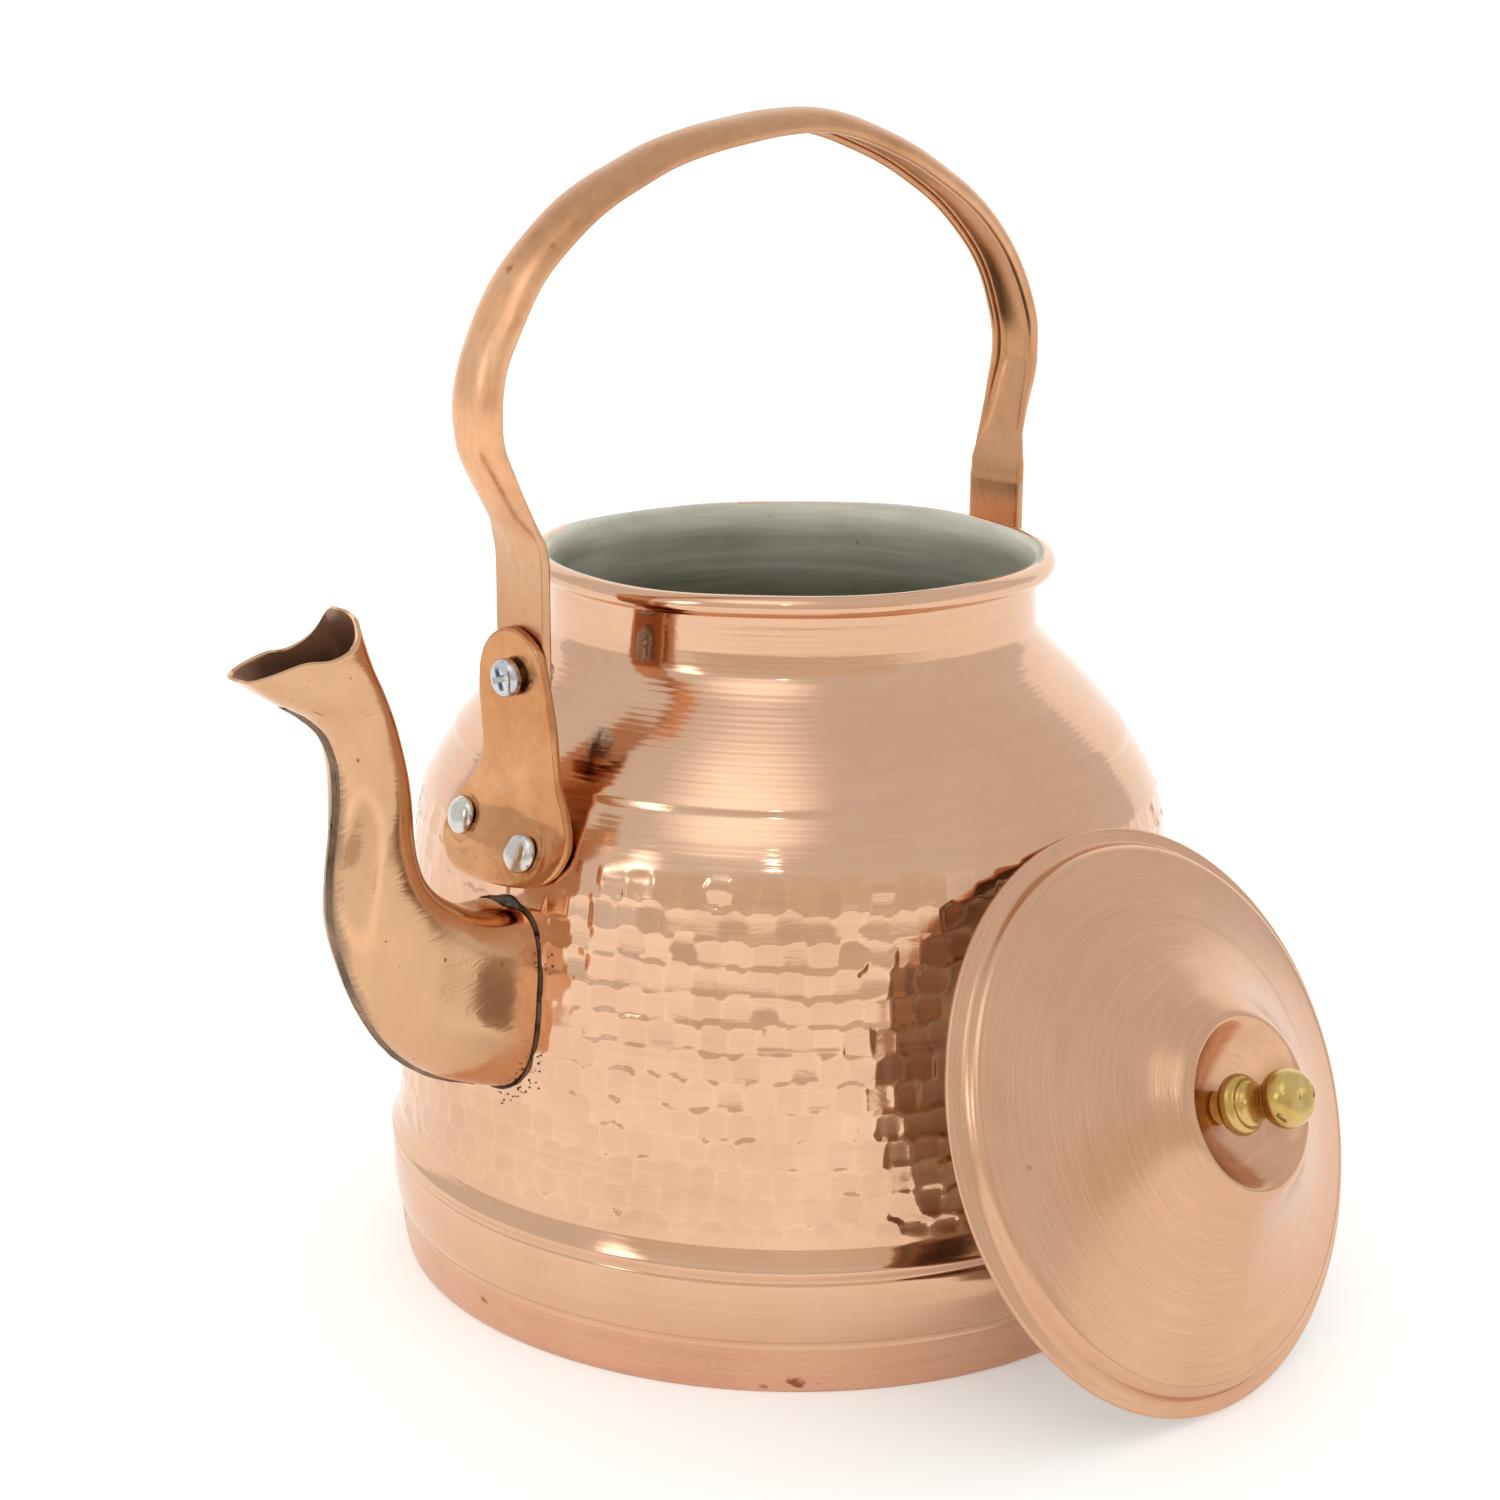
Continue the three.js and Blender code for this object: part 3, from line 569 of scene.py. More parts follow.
def mouthRing(growth):
    half = spout["around"] // 2
    fine = catmull(mouthRows, 400)
    reach = np.concatenate([[0], np.cumsum(np.linalg.norm(np.diff(fine, axis=0), axis=1))])
    at = np.linspace(0, reach[-1], half + 1)
    side = np.stack([np.interp(at, reach, fine[:, k]) for k in range(3)], -1)
    ring = np.vstack([side, side[-2:0:-1] * (1, -1, 1)])
    centre = np.array([-134, 0, 158])
    away = (ring - centre) * (1, 1, 0)
    size = np.linalg.norm(away, axis=1)
    return centre + away * ((size + growth) / size)[:, None] + (ring - centre) * (0, 0, 1)


def spoutSkin(growth):
    rings = [spoutRing(row, growth) for row in spoutRows]
    root = rings[0].copy()
    root[:, 0] = -np.sqrt((bodyRadius(root[:, 2]) - spout["sunk"]) ** 2 - root[:, 1] ** 2)
    rings[0] = root
    rings.append(mouthRing(growth))
    return catmull(rings, spout["along"])


# a long pressed oval on each side face, a little darker inside and rubbed round its edge
def pressPanels(outer, run):
    angle = (np.arange(spout["around"]) * 2 * math.pi / spout["around"])[None]
    around = np.roll(outer, -1, 1) - np.roll(outer, 1, 1)
    normal = np.cross(np.gradient(outer, axis=0), around)
    normal /= np.linalg.norm(normal, axis=2)[..., None]
    normal *= np.sign((normal * (outer - outer.mean(1, keepdims=True))).sum(2).mean())
    tone, ridge = np.full(outer.shape[:2], 0.62), np.zeros(outer.shape[:2])
    for side in (math.pi / 2, 3 * math.pi / 2):
        towardSeam = math.copysign(spout["panelShift"], math.sin(side))
        across = (angle - side + towardSeam) / spout["panelWide"]
        along = (run - spout["panelRun"]) / spout["panelLong"]
        oval = np.sqrt(across ** 2 + along ** 2)
        press = np.clip((1.15 - oval) / 0.3, 0, 1)
        tone -= spout["panelTone"] * press
        ridge += np.exp(-((oval - 1.12) / 0.16) ** 2)
        outer = outer - normal * (spout["panelDepth"] * press * press * (3 - 2 * press))[..., None]
    return outer, tone, ridge


# how far along and how far round from the seam each point is, with no flux on the beak and root
def seamDistances(outer, run):
    steps = np.linalg.norm(np.diff(outer, axis=0), axis=2)
    along = np.vstack([np.zeros((1, spout["around"])), np.cumsum(steps, axis=0)])
    span = np.linalg.norm(outer - np.roll(outer, 1, 1), axis=2)
    across = np.cumsum(span, axis=1) - span[:, :1]
    across = np.minimum(across, across[:, -1:] + span[:, :1] - across)
    return along, across + 5 * np.clip((run - 0.62) / 0.2, 0, 1) + 3 * np.clip((0.3 - run) / 0.2, 0, 1)


def spoutMesh():
    count = spout["along"]
    run = np.linspace(0, 1, count)[:, None]
    inner = spoutSkin(-spout["wall"])
    outer, tone, ridge = pressPanels(spoutSkin(0), run)
    for ring in outer:
        for p in ring:
            p[1] += spout["dressing"] * unevenness(p, 0.11) * (1 if p[1] > 0 else -1)
    lip = (outer[-1] + inner[-1]) / 2 + np.array([0, 0, spout["lipRise"]])
    skin = np.concatenate([outer, lip[None], inner[::-1]])
    faces = gridFaces(len(skin), spout["around"], wrapRows=True)
    slots = (np.arange(len(faces)) >= (count + 1) * spout["around"]).astype(int)
    along, across = seamDistances(outer, run)
    insideAcross = 50  # keeps the flux off the inner skin
    marks = {key: np.concatenate([v, v[-1:], v[::-1] + far]) for key, v, far in (
        ("along", along, 0), ("across", across, insideAcross), ("tone", tone, 0), ("ridge", ridge, 0))}
    return skin.reshape(-1, 3), faces, slots, marks


points, faces, slots, marks = spoutMesh()
makePiece("swan_neck_spout", points, faces, "kettle", "spout",
          [sheetCopper, brownedCopper], slots=slots, sharp=50, marks=marks)

seam = {"spread": 0.54, "from": 10, "to": 182, "ease": 14, "proud": 0.3, "sway": 0.18, "uneven": 0.1}


# two lapped edges folded over each other along the outer curve
def seamMesh():
    outer = spoutSkin(0)
    line = outer[seam["from"]:seam["to"], 0]
    back = outer[seam["from"]:seam["to"], spout["around"] // 2]
    out = line - back
    out /= np.linalg.norm(out, axis=1)[:, None]
    section = [(-2, -1.1), (-1.9, -0.35), (-1.5, -0.05), (-1.1, 0.05), (-0.85, -0.2), (-0.6, 0.2),
               (-0.2, 0.42), (0.1, 0.3), (0.3, 0.02), (0.5, 0.25), (0.9, 0.48), (1.3, 0.3),
               (1.6, -0.2), (1.9, -0.5), (2, -1.1)]
    rows = []
    for i, (p, o) in enumerate(zip(line, out)):
        ease = min(1, (i + 2) / seam["ease"], (len(line) + 1 - i) / seam["ease"])
        sway = seam["sway"] * unevenness((i * 0.09, 3, 0))
        rows.append([p + o * (h * ease + seam["proud"] + seam["uneven"] * unevenness((i * 0.3, w, 7)))
                     + np.array([0, w * seam["spread"] + sway, 0]) for w, h in section])
    rows = np.array(rows)
    faces = gridFaces(len(rows), len(section)).tolist()
    last = (len(rows) - 1) * len(section)
    faces.append(list(range(len(section)))[::-1])
    faces.append([last + k for k in range(len(section))])
    return rows.reshape(-1, 3), faces


points, faces = seamMesh()
makePiece("folded_seam", points, faces, "kettle", "spout_seam", [seamCopper], sharp=50)

solder = {"spread": 0.2, "climb": 0.1, "lumps": 0.9, "bulge": 0.12, "specks": 42, "speckSides": 7,
          "speckFrom": 160, "speckTo": 275, "speckSize": (0.1, 0.34), "scatter": 1.4}


# a point on the spout's side at this distance from the kettle's axis
def spoutSide(radius, y, z):
    return np.array([-math.sqrt(radius ** 2 - y ** 2), y, z])


# a point at this y and z on the belly, raised off the copper or sunk into it
def onBelly(y, z, raised):
    return spoutSide(bodyRadius(z) + raised, y, z)


# one section of the fillet, from the spout's skin down to the belly
def solderSection(outer, j, away):
    p = outer[0, j]
    lump = 1 + solder["lumps"] * unevenness(p, 0.22) + 0.3 * unevenness(p, 0.8)
    top = max(0, away[2]) ** 6
    blob = math.exp(-((p[1] + 1.5) / 3.2) ** 2) * max(0, away[2])
    spread = solder["spread"] * lump + 0.25 * top + 1.5 * blob
    climb = solder["climb"] * lump + 0.2 * top + 1.3 * blob + spout["sunk"]
    step = min(range(1, 40), key=lambda i: abs(np.linalg.norm(outer[i, j] - p) - climb))
    foot = p + away * spread
    start, end = outer[step, j], onBelly(foot[1], foot[2], 0.05)
    corner = onBelly(p[1], p[2], 0.5) + away * 0.35
    ring = []
    for t in np.linspace(0, 1, 9):
        c = start * (1 - t) ** 2 + 2 * corner * t * (1 - t) + end * t * t
        swell = math.sin(math.pi * t)
        proud = solder["bulge"] * swell + solder["bulge"] * unevenness(c, 1.1) * swell
        ring.append(c + (away * 0.5 + np.array([-0.7, 0, 0])) * proud)
    return ring + [end + np.array([0.6, 0, 0]), onBelly(p[1], p[2], -0.5)]


# a flattened drop with its foot sunk into the copper
def speckPoints(place, size, rng):
    sides, radius = solder["speckSides"], bodyRadius(place[2])
    points = []
    for k in range(sides):
        a = k * 2 * math.pi / sides + rng.uniform(-0.25, 0.25)
        y, z = place[1] + size * math.cos(a), place[2] + size * math.sin(a)
        points.append(spoutSide(radius - 0.12, y, z))
    return points + [spoutSide(radius + size * 0.55, place[1], place[2])]


# the fillet run round the spout's root, thicker and blobbed at the top, with spatter below it
def solderMesh():
    outer = spoutSkin(0)
    root = outer[0]
    ways = (root - root.mean(0)) * (0, 1, 1)
    ways /= np.linalg.norm(ways, axis=1)[:, None]
    rows = np.array([solderSection(outer, j, away) for j, away in enumerate(ways)]).transpose(1, 0, 2)
    faces = gridFaces(rows.shape[0], rows.shape[1], wrapRows=True).tolist()
    points = rows.reshape(-1, 3).tolist()
    sides = solder["speckSides"]
    speckFaces = [[k, (k + 1) % sides, sides] for k in range(sides)] + [list(range(sides))[::-1]]
    rng = np.random.default_rng(5)
    for _ in range(solder["specks"]):
        turn = rng.uniform(math.radians(solder["speckFrom"]), math.radians(solder["speckTo"]))
        at = int(turn / (2 * math.pi) * len(root) + len(root) / 4) % len(root)
        place = root[at] + ways[at] * (1 + abs(rng.normal(0, solder["scatter"])))
        size = rng.uniform(*solder["speckSize"])
        faces += [[len(points) + k for k in face] for face in speckFaces]
        points += [list(point) for point in speckPoints(place, size, rng)]
    return points, faces


points, faces = solderMesh()
makePiece("root_solder", points, faces, "kettle", "spout_solder_joint", [fluxedSolder],
          sharp=70)
print("spout made")


lug = {"thickness": 1.8, "gap": 0.35, "pivot": 144.3, "blend": 1.4, "round": 0.5, "dents": 0.22,
       "fineDents": 0.05, "ringed": 0.1, "ringAt": 5.4, "ringWide": 1.3, "ringPitch": 1.9}
sides = {"front": {"out": -1, "strapX": 78.05}, "rear": {"out": 1, "strapX": 69.6}}
# across and up from the pivot, for someone facing the front lug
rivetSpots = {"left": (15.7, -32.6), "right": (-6.1, -35.7)}
lugEdge = [
    (0, 10.2), (-4.3, 8.9), (-7.9, 5.8), (-9.6, 1.6), (-10.7, -3), (-12.1, -9.6), (-12.7, -15.1),
    (-13.5, -21.3), (-15.5, -26.4), (-16.9, -31.7), (-17, -35.6), (-14.7, -39.4), (-10.7, -41.9),
    (-5.2, -43), (2, -43.6), (10.4, -43.9), (17.5, -43.1), (22, -39.8), (22.4, -35.2),
    (19.5, -30.4), (15.5, -25.4), (11.9, -20.8), (10.2, -16.2), (10.3, -10.4), (10.8, -3.4),
    (10.3, 2.3), (8.4, 6.2), (4.6, 9.1),
]


def lugFace(side, y, z):
    follow = np.sqrt((bodyRadius(z) + lug["gap"]) ** 2 - y ** 2)
    upright = side["strapX"] + 1.15 + lug["gap"]
    return (follow + upright + np.hypot(follow - upright, lug["blend"])) / 2


def lugOutline():
    ring = np.array(lugEdge[-2:] + lugEdge + lugEdge[:3], float)
    fine = catmull(ring, (len(ring) - 1) * 8 + 1)
    return fine[16:16 + len(lugEdge) * 8]


def lugMesh(side, seed):
    outline = lugOutline()
    heart = np.array([0, -22.0])
    scales = [*np.linspace(0, 0.9, 37), 0.94, 0.968, 0.985, 0.996, 1]
    skins = []
    for outerSkin in (True, False):
        rings = []
        for s in scales[1:]:
            flat = heart + (outline - heart) * s
            y, z = -side["out"] * flat[:, 0], flat[:, 1] + lug["pivot"]
            edge = np.linalg.norm((outline - heart) * (1 - s), axis=1)
            drop = lug["round"] * (1 - np.sqrt(1 - np.clip(1 - edge / lug["round"], 0, 1) ** 2))
            dent = np.array([lug["dents"] * unevenness((a * 0.13, b * 0.13, seed))
                             + lug["fineDents"] * unevenness((a * 0.5, b * 0.5, seed))
                             for a, b in zip(y, z)])
            for spot in rivetSpots.values():
                reach = np.linalg.norm(flat - spot, axis=1)
                near = np.exp(-((reach - lug["ringAt"]) / lug["ringWide"]) ** 2)
                dent += lug["ringed"] * near * np.cos(reach * 2 * math.pi / lug["ringPitch"])
            face = lugFace(side, y, z)
            x = face + (lug["thickness"] - drop + dent if outerSkin else 0.02 + drop * 0.5)
            rings.append(np.stack([side["out"] * x, y, z], -1))
        skins.append(np.array(rings))
    front, back = skins
    grid = np.concatenate([front, back[::-1]])
    faces = gridFaces(len(grid), len(outline)).tolist()
    points = grid.reshape(-1, 3)
    count = len(outline)
    for ring, flip in ((front[0], False), (back[0], True)):
        points = np.vstack([points, ring.mean(0)])
        base = 0 if not flip else (len(grid) - 1) * count
        hub = len(points) - 1
        for k in range(count):
            a, b = base + k, base + (k + 1) % count
            faces.append([b, a, hub] if not flip else [a, b, hub])
    return points, faces


def seatOf(side, spot):
    y, z = -side["out"] * spot[0], spot[1] + lug["pivot"]
    reach = 3.3
    face = lambda a, b: float(lugFace(side, np.float64(a), np.float64(b)))
    way = Vector((side["out"], (face(y - reach, z) - face(y + reach, z)) / (2 * reach),
                  (face(y, z - reach) - face(y, z + reach)) / (2 * reach))).normalized()
    return (side["out"] * (face(y, z) + lug["thickness"]), y, z), way


def rivetMesh(seed):
    tail = -lug["thickness"] - body["wall"] - 0.75
    profile = [(0, tail - 1.3), (1.6, tail - 1.25), (2.7, tail - 0.95), (3.4, tail - 0.3), (3.3, tail),
               (1.9, tail), (1.9, 0.25), (3.9, 0.2), (4.12, 0.5), (4.1, 0.85), (3.85, 1.3),
               (3.35, 1.75), (2.6, 2.15), (1.7, 2.42), (0.8, 2.53), (0, 2.55)]
    points, faces = turnedMesh(densify(profile, 0.35), 64)
    moved = []
    for p in points:
        dent = 0.28 * unevenness((p[0] * 0.32, p[1] * 0.32, seed)) if p[2] > 0.4 else 0
        moved.append((p[0] * (1 + dent * 0.12), p[1] * (1 - dent * 0.1), p[2] + dent * 0.7))
    return np.array(moved), faces


def screwMesh():
    profile = [(0, 0), (2, 0), (4, 0.02), (4.02, 0.5), (3.98, 1.05), (3.8, 1.5), (3.4, 1.95),
               (2.8, 2.25), (2, 2.43), (1, 2.5), (0, 2.5)]
    return turnedMesh(densify(profile, 0.4), 72)


# cuts a tapered cross into the head
def crossRecess(piece, place):
    cutters = []
    for quarter in (0, 1):
        mesh = bpy.data.meshes.new("cutter")
        w0, w1, l0, l1 = 0.4, 0.75, 1.1, 2.9
        low, high = 0.8, 2.9
        corners = [(-l0, -w0, low), (l0, -w0, low), (l0, w0, low), (-l0, w0, low),
                   (-l1, -w1, high), (l1, -w1, high), (l1, w1, high), (-l1, w1, high)]
        mesh.from_pydata([tuple(c * mm for c in p) for p in corners], [],
                         [(3, 2, 1, 0), (4, 5, 6, 7), (0, 1, 5, 4), (1, 2, 6, 5), (2, 3, 7, 6),
                          (3, 0, 4, 7)])
        cutter = bpy.data.objects.new("cutter", mesh)
        bpy.context.scene.collection.objects.link(cutter)
        cutter.matrix_world = place @ Matrix.Rotation(0.35 + quarter * math.pi / 2, 4, "Z")
        cut = piece.modifiers.new("cross", "BOOLEAN")
        cut.operation, cut.object, cut.solver = "DIFFERENCE", cutter, "EXACT"
        cutters.append(cutter)
    bpy.context.view_layer.update()
    cutPiece = piece.evaluated_get(bpy.context.evaluated_depsgraph_get())
    cutMesh = bpy.data.meshes.new_from_object(cutPiece)
    piece.modifiers.clear()
    piece.data = cutMesh
    cutMesh.set_sharp_from_angle(angle=math.radians(32))
    for cutter in cutters:
        bpy.data.objects.remove(cutter)


# hexagon with both ends chamfered, a hole through it
def nutMesh():
    angle = np.arange(96) * 2 * math.pi / 96
    hexagon = 4.05 * math.cos(math.pi / 6) / np.cos((angle + math.pi / 6) % (math.pi / 3) - math.pi / 6)
    rows = []
    for z, limit in ((0, 3.4), (0.12, 3.62), (0.42, 4.3), (2.78, 4.3), (3.08, 3.62), (3.2, 3.4)):
        r = np.minimum(hexagon, limit)
        rows.append(np.stack([r * np.cos(angle), r * np.sin(angle), np.full(96, z)], -1))
    for z, r in ((3.2, 2.5), (2.9, 2.15), (0.3, 2.15), (0, 2.5)):
        rows.append(np.stack([r * np.cos(angle), r * np.sin(angle), np.full(96, z)], -1))
    return np.array(rows).reshape(-1, 3), gridFaces(len(rows), 96, wrapRows=True)


for sideNumber, (sideName, side) in enumerate(sides.items()):
    points, faces = lugMesh(side, sideNumber * 7 + 1.3)
    makePiece(f"lug_{sideName}", points, faces, "kettle", f"bracket_{sideName}",
              [lugCopper], sharp=40)
    for number, (hand, spot) in enumerate(rivetSpots.items()):
        seat, way = seatOf(side, spot)
        points, faces = rivetMesh(sideNumber * 5 + number * 2 - 1)
        makePiece(f"rivet_{sideName}_{hand}_domed", points, faces, "kettle",
                  f"rivet_{sideName}_{hand}", [headedAluminium], sharp=50,
                  matrix=nearRotation(way, seat))
    out = side["out"]
    headX = out * (side["strapX"] + 1.15 + lug["thickness"] + 0.7 + lug["gap"] * 2)
    place = nearRotation((out, 0, 0), (headX, 0, lug["pivot"]))
    points, faces = screwMesh()
    shank = turnedMesh([(0, -11), (1.6, -11), (2, -10.4), (2, -0.01), (0, -0.01)], 32)
    screw = makePiece(f"pan_head_screw_{sideName}", points, faces, "kettle",
                      f"pivot_screw_{sideName}", [zincPlate], sharp=32, matrix=place)
    crossRecess(screw, place)
    makePiece(f"screw_shank_{sideName}", shank[0], shank[1], "kettle", None,
              [zincPlate], matrix=place)
    nutPlace = nearRotation((out, 0, 0), (out * (side["strapX"] - 1.15 - 0.35 - 3.2), 0, lug["pivot"]))
    points, faces = nutMesh()
    makePiece(f"hex_nut_{sideName}", points, faces, "kettle", f"pivot_nut_{sideName}",
              [zincPlate], sharp=25, matrix=nutPlace)
print("fixings made")


bail = {"wide": 6.5, "deep": 3.95, "wall": 1.9, "wrap": math.radians(105), "strap": 2.3,
        "half": 7.1, "columns": 40, "arch": 230, "wave": 0.16}
archPoints = [
    (-84.9, 185), (-88.2, 193), (-88.4, 203), (-84.6, 213.4), (-75.2, 226.6), (-58, 239),
    (-32, 248.2), (0, 252), (24, 247.3), (48, 236.4), (65, 222.6), (73.4, 207.6), (74.8, 197),
    (72.8, 187.5),
]


# one section, 0 is the flat strap and 1 the rolled channel open inward
def bailSection(row):
    x, z, outX, outZ, roundness, width, phase = row
    size = math.hypot(outX, outZ)
    outX, outZ = outX / size, outZ / size
    t = np.linspace(-1, 1, bail["columns"])
    turn = t * bail["wrap"]
    sheets = []
    for inset, face in ((0, 1), (bail["wall"], -1)):
        across = (bail["wide"] - inset) * np.sin(turn) * roundness + width * t * (1 - roundness)
        rolled = (bail["deep"] - inset * 1.3) * np.cos(turn) * roundness
        out = rolled + bail["strap"] / 2 * face * (1 - roundness)
        sheets.append(np.stack([across, out], -1))
    outer, inner = sheets
    middle = (outer + inner) / 2
    caps = []
    for end, before in ((-1, -2), (0, 1)):
        ahead = middle[end] - middle[before]
        ahead /= np.linalg.norm(ahead) + 1e-9
        gap = np.linalg.norm(outer[end] - inner[end])
        caps.append([outer[end] * (1 - s) + inner[end] * s + ahead * gap * 0.42 * math.sin(math.pi * s)
                     for s in (0.12, 0.3, 0.5, 0.7, 0.88)])
    flat = np.vstack([outer, caps[0], inner[::-1], np.array(caps[1])[::-1]])
    wave = 1 + 0.02 * math.sin(phase * 2.1) * roundness
    flat = flat * (wave, 1)
    return np.stack([x + outX * flat[:, 1], -flat[:, 0], z + outZ * flat[:, 1]], -1)


def footRows(x, out, bendX, bendTop):
    rows = []
    for degrees in (6, 14, 22, 30, 38, 46, 54, 62, 70, 80, 90):
        a = math.radians(degrees)
        z = lug["pivot"] - bail["half"] * math.cos(a)
        rows.append((x, z, out, 0, 0, bail["half"] * math.sin(a)))
    rows += [(x, z, out, 0, 0, bail["half"]) for z in (148, 152, 156, 160, 164, 167, 168)]
    rows += [(x + out * 0.12, 168.5, out, -0.04, 0.01, bail["half"]),
             (x + out * 0.2, 169.8, out, -0.06, 0.03, bail["half"]),
             (x + (bendX - x) * 0.22, 172.2, out, -0.24, 0.05, bail["half"]),
             (x + (bendX - x) * 0.6, 174.8, out, -0.4, 0.26, bail["half"]),
             (bendX, bendTop, out, -0.43, 0.55, bail["half"])]
    return rows


def bailMesh():
    arch = catmull(archPoints, bail["arch"])
    ahead = np.gradient(arch, axis=0)
    archRows = []
    for i, (p, d) in enumerate(zip(arch, ahead)):
        near = min(i, len(arch) - 1 - i) / (bail["arch"] / 28)
        archRows.append((p[0], p[1], -d[1], d[0], min(1, 0.8 + near * 0.1), bail["half"]))
    front = footRows(-78.05, -1, -81.2, 177.6)
    rear = footRows(69.6, 1, 70.8, 179)[::-1]
    link = lambda a, b: catmull(np.array([a[-2], a[-1], b[0], b[1]]), 25)[9:16]
    joined = front + [tuple(r) for r in link(front, archRows)] + archRows \
        + [tuple(r) for r in link(archRows, rear)] + rear
    sections = []
    for i, row in enumerate(joined):
        x, z = row[0], row[1]
        bump = bail["wave"] * unevenness((x * 0.07, z * 0.07, 5)) * row[4]
        sections.append(bailSection((x + row[2] * bump, z + row[3] * bump, *row[2:], i * 0.11)))
    grid = np.array(sections)
    faces = gridFaces(len(grid), grid.shape[1]).tolist()
    count = grid.shape[1]
    faces.append(list(range(count))[::-1])
    faces.append([(len(grid) - 1) * count + k for k in range(count)])
    # painted light on the handle: the leg by the spout is painted brighter, a painted highlight; the
    # colour is also darker along the top of the arch and on the straps below the fold
    x, _, z = grid.reshape(-1, 3).T
    top = np.clip((z - 222) / 16, 0, 1) * np.clip((52 - x) / 50, 0, 1)
    paintedHighlightLeg = np.clip((-60 - x) / 10, 0, 1) * np.clip((z - 176) / 10, 0, 1)
    shade = 0.55 + 0.75 * paintedHighlightLeg * (1 - top) - 0.5 * top - 0.3 * np.clip((174 - z) / 6, 0, 1)
    # the tone mark takes this painted highlight and the darker stretches into the material
    return grid.reshape(-1, 3), faces, {"tone": shade, "ridge": 0 * shade}


points, faces, marks = bailMesh()
makePiece("bail_channel", points, faces, "handle", "handle_bail", [filedCopper],
          sharp=48, marks=marks)
print("handle made")


lid = {"lean": math.radians(23), "centre": (0, -106.4, 56.15), "sheet": 1.2,
       "segments": 420}
# top from the edge inward: flange, step, flared cone, crest, dished centre
lidTop = [(60, 0.55), (57.6, 0.9), (56.9, 1.7), (56.2, 3.6), (55, 4.5), (53.6, 4.6), (46, 7),
          (38, 10.2), (31, 13.9), (25.4, 18), (21.4, 22), (19.3, 24.2), (18.2, 25), (17.4, 25.2),
          (16.7, 24.7), (14.6, 22.4), (12, 20), (8.8, 17.8), (6, 16.7), (2.4, 16.3)]
lidPlace = Matrix.Translation(Vector(lid["centre"]) * mm) \
    @ Matrix.Rotation(math.pi / 2 - lid["lean"], 4, "X")


def lidMesh():
    top = catmull(soften(lidTop, 1), 190)
    ahead = np.gradient(top, axis=0)
    ahead /= np.linalg.norm(ahead, axis=1)[:, None]
    under = top + np.stack([-ahead[:, 1], ahead[:, 0]], -1) * lid["sheet"]
    under[-1, 0] = 2.4
    # the sheet is too thick for its own tight corners, so the inner skin never runs outward
    under[:, 0] = np.minimum.accumulate(under[:, 0])
    edge = np.array([(60.3, -0.55), (60.5, -0.3), (60.52, 0), (60.45, 0.3), (60.25, 0.48)])
    under[0] = (59.9, -0.72)
    loop = np.vstack([top, under[::-1], edge])
    angle = np.arange(lid["segments"]) * 2 * math.pi / lid["segments"]
    radius = loop[:, 0][:, None] + 0.1 * np.sin(3 * angle + 0.4)[None] * (loop[:, 0] > 30)[:, None]
    height = loop[:, 1][:, None] + (0.12 * np.sin(2 * angle) + 0.07 * np.sin(5 * angle + 1))[None] \
        * (loop[:, 0] > 40)[:, None]
    grid = np.stack([radius * np.cos(angle), radius * np.sin(angle), height + 0 * angle], -1)
    faces = gridFaces(len(loop), lid["segments"], wrapRows=True)
    row = np.repeat(np.arange(len(loop)), lid["segments"])
    slots = ((row >= len(top)) & (row < 2 * len(top) - 1)).astype(int)
    return grid.reshape(-1, 3), faces, slots


points, faces, slots = lidMesh()
makePiece("spun_lid", points, faces, "lid", "lid_shell", [lidCopper, lidTin],
          slots=slots, sharp=50, matrix=lidPlace)
knobOutline = [(0, 24.35), (2.3, 24.35), (2.3, 16.35), (3.5, 16.35), (3.45, 19.2), (2.9, 19.7),
               (4.2, 20.2), (6, 21), (6.4, 22.3), (5.9, 23.6), (4.9, 24.2), (4.8, 25),
               (3.9, 25.8), (3.4, 27.4), (3.5, 29.6), (4.2, 30.4), (5.5, 31.6), (6.1, 33.6),
               (5.8, 35.6), (4.9, 37.3), (3.6, 37.9), (1.6, 37.95), (1, 37.7), (0, 37.2)]
points, faces = turnedMesh(densify(soften(knobOutline, 2), 0.3), 96)
makePiece("turned_knob", points, faces, "lid", "lid_knob", [turnedBrass], sharp=50,
          matrix=lidPlace)
screwOutline = [(0, 12.25), (2.4, 12.25), (3.6, 13.05), (3.8, 14.45), (1.95, 14.45), (1.95, 23), (0, 23)]
points, faces = turnedMesh(densify(screwOutline, 0.5), 48)
makePiece("knob_screw", points, faces, "lid", "lid_knob_screw", [zincPlate], sharp=35,
          matrix=lidPlace)
print("lid made")


studio = {"paper": "#fbfaf8", "glow": 0.3, "sky": "#ffffff", "skyPower": 0.82, "front": 1.37,
          "side": 3.0, "back": 2.6, "sweep": 0.8, "top": 2.6}
ahead = Vector((0.7037, 0.7105, 0))
across = Vector((0.7105, -0.7037, 0))


def plainMaterial(name, hexText, rough, glow=0):
    material = bpy.data.materials.new(name)
    material.use_nodes = True
    shader = material.node_tree.nodes["Principled BSDF"]
    shader.inputs["Base Color"].default_value = colour(hexText)
    shader.inputs["Roughness"].default_value = rough
    shader.inputs["Emission Color"].default_value = colour(hexText)
    shader.inputs["Emission Strength"].default_value = glow
    return material


def stageMesh(name, points, faces, material):
    mesh = bpy.data.meshes.new(name)
    mesh.from_pydata([tuple(p) for p in points], [], faces)
    mesh.materials.append(material)
    mesh.shade_smooth()
    piece = bpy.data.objects.new(name, mesh)
    bpy.context.scene.collection.objects.link(piece)
    return piece


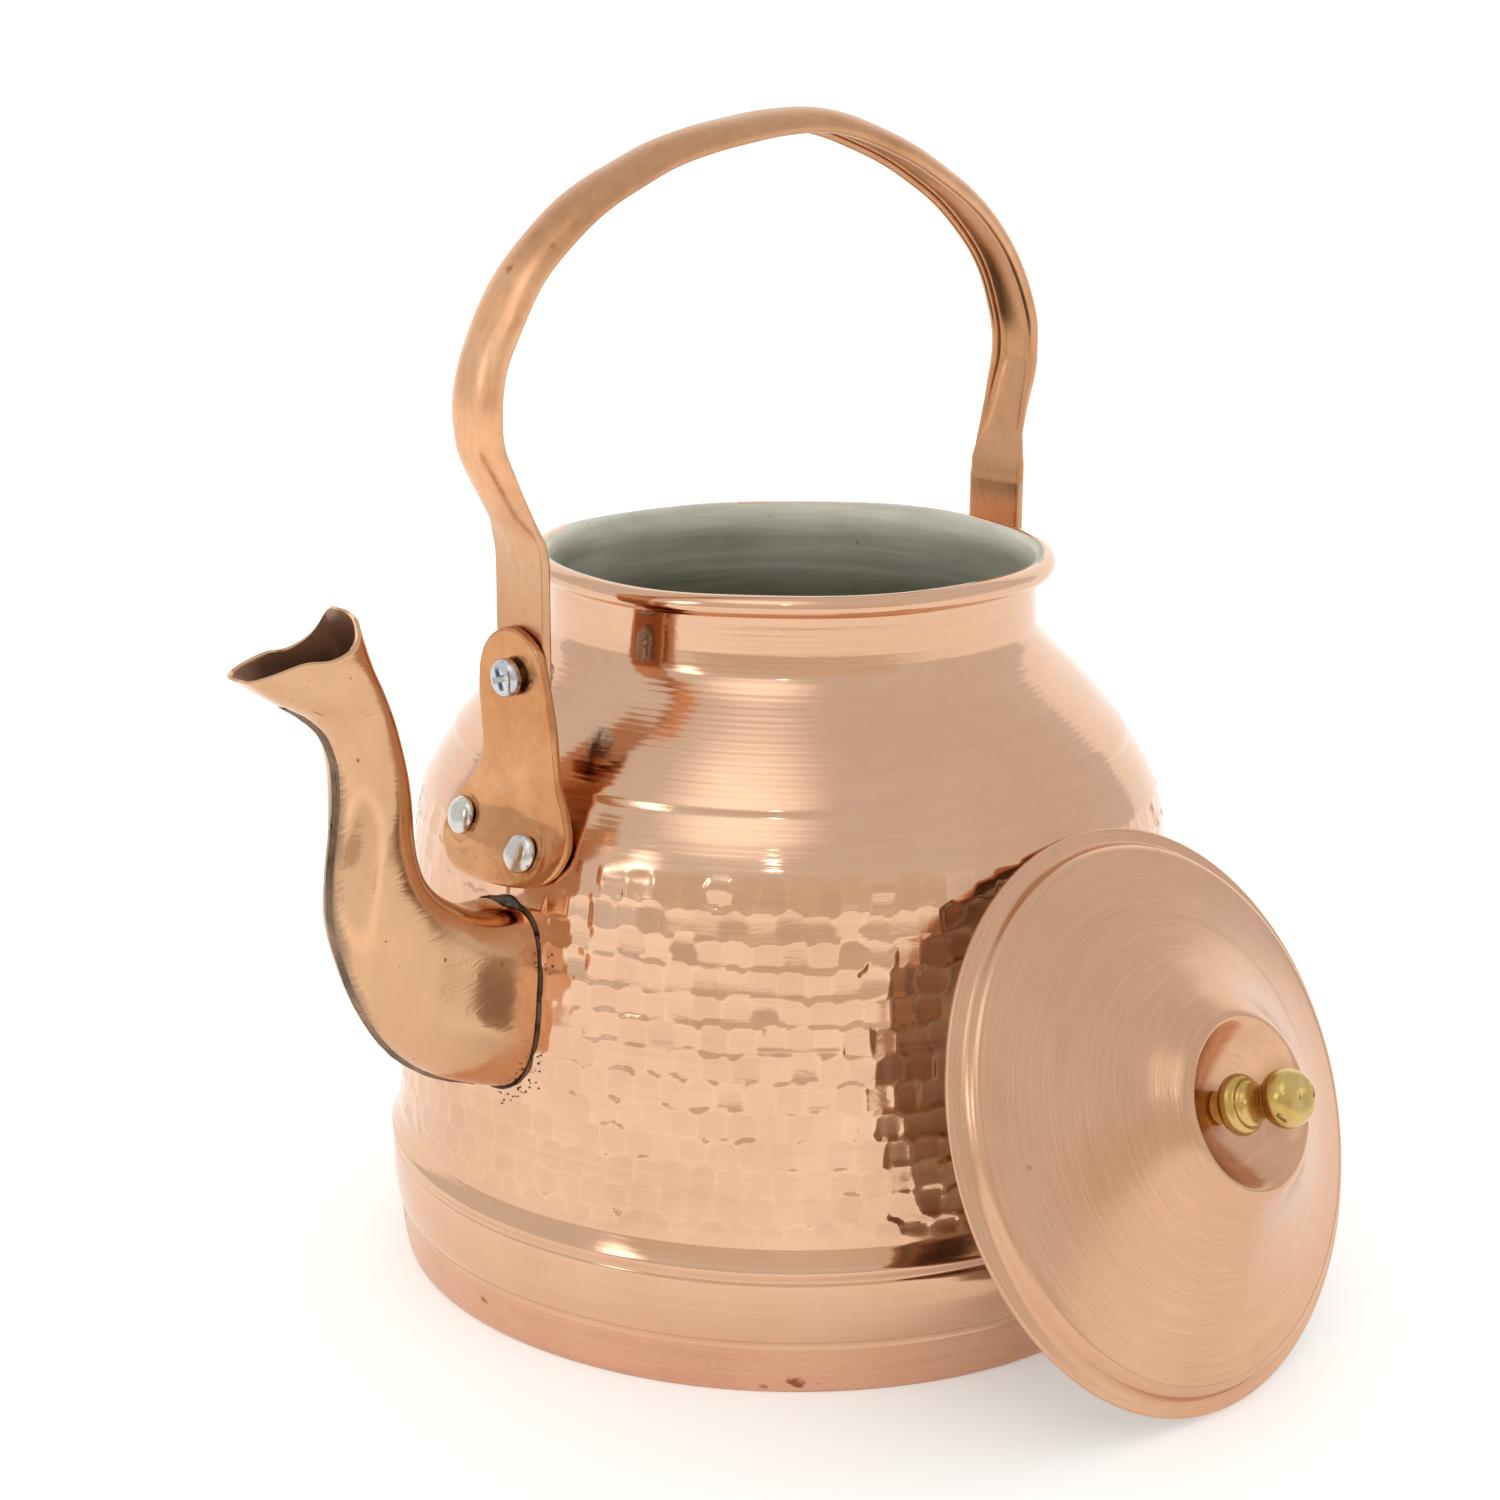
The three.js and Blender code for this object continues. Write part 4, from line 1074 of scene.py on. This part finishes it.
# table paper that curves up behind the kettle
def paperSweep():
    line = [(-studio["front"], 0), (0, 0), (studio["back"] - studio["sweep"], 0)]
    line += [(studio["back"] - studio["sweep"] * (1 - math.sin(a)), studio["sweep"] * (1 - math.cos(a)))
             for a in np.linspace(0.1, math.pi / 2, 14)]
    line.append((studio["back"], studio["top"]))
    points = []
    for run, height in line:
        for side in (-1, 1):
            points.append(ahead * run + across * side * studio["side"] + Vector((0, 0, height)))
    faces = [(2 * k, 2 * k + 1, 2 * k + 3, 2 * k + 2) for k in range(len(line) - 1)]
    paper = plainMaterial("matt_paper", studio["paper"], 0.7, studio["glow"])
    stageMesh("paper_sweep", points, faces, paper)


# an upright card facing the kettle, run metres ahead of it and side metres across
def card(name, hexText, run, side, low, high, wide, glow=0):
    middle = ahead * run + across * side
    away = Vector((-middle.y, middle.x, 0)).normalized() * wide / 2
    points = [middle - away + Vector((0, 0, low)), middle + away + Vector((0, 0, low)),
              middle + away + Vector((0, 0, high)), middle - away + Vector((0, 0, high))]
    stageMesh(name, points, [(0, 1, 2, 3)], plainMaterial(name, hexText, 0.8, glow))


def softbox(name, power, size, place, target):
    data = bpy.data.lights.new(name, "AREA")
    data.shape, data.size, data.size_y, data.energy = "RECTANGLE", size[0], size[1], power
    # the light fades towards the box's edges, so its reflection has no hard border
    data.use_nodes = True
    tree = data.node_tree
    tree.nodes.clear()
    inBox = addNode(tree, "NewGeometry").outputs["Parametric"]
    reach = addNode(tree, "VectorMath", {"operation": "DISTANCE", 1: (0.5, 0.5, 0)},
                    {0: inBox}).outputs["Value"]
    fade = addNode(tree, "MapRange", {
        "interpolation_type": "SMOOTHSTEP",
        "From Min": 0.5, "From Max": 0.1, "To Min": 0, "To Max": 1.6},
        {"Value": reach}).outputs["Result"]
    glow = addNode(tree, "Emission", links={"Strength": fade}).outputs[0]
    addNode(tree, "OutputLight", links={"Surface": glow})
    lamp = bpy.data.objects.new(name, data)
    bpy.context.scene.collection.objects.link(lamp)
    way = (Vector(target) - Vector(place)).normalized()
    facing = way.to_track_quat("-Z", "Y").to_matrix().to_4x4()
    lamp.matrix_world = Matrix.Translation(Vector(place)) @ facing


paperSweep()
world = bpy.data.worlds.new("studio_air")
bpy.context.scene.world = world
world.use_nodes = True
world.node_tree.nodes["Background"].inputs["Color"].default_value = colour(studio["sky"])
world.node_tree.nodes["Background"].inputs["Strength"].default_value = studio["skyPower"]
card("room_wall", "#efe6dc", run=-2.2, side=0, low=-0.6, high=1.0, wide=4.6)
softbox("high_box", 2.6, (1.3, 1.3), (-0.73, -0.31, 1.25), (0, 0, 0.1))
softbox("left_strip", 1.9, (0.4, 0.9), ahead * -1.0 + across * -1.1 + Vector((0, 0, 0.7)), (0, 0, 0.2))
softbox("small_lamp", 0.5, (0.12, 0.12), (-1.1, -0.9, 1.2), (0, 0, 0.1))
bpy.context.scene.view_settings.view_transform = "Standard"

cameraData = bpy.data.cameras.new("front_camera")
cameraData.lens = 66.0
cameraData.sensor_width = 36
cameraData.clip_start = 0.01
camera = bpy.data.objects.new("front_camera", cameraData)
bpy.context.scene.collection.objects.link(camera)
aim = Vector((0.67918, 0.68569, -0.26181)).normalized()
camera.matrix_world = Matrix.Translation(Vector((-0.43071, -0.42175, 0.27699))) \
    @ aim.to_track_quat("-Z", "Y").to_matrix().to_4x4() @ Matrix.Rotation(math.radians(0.25), 4, "Z")
bpy.context.scene.camera = camera

print("studio ready")
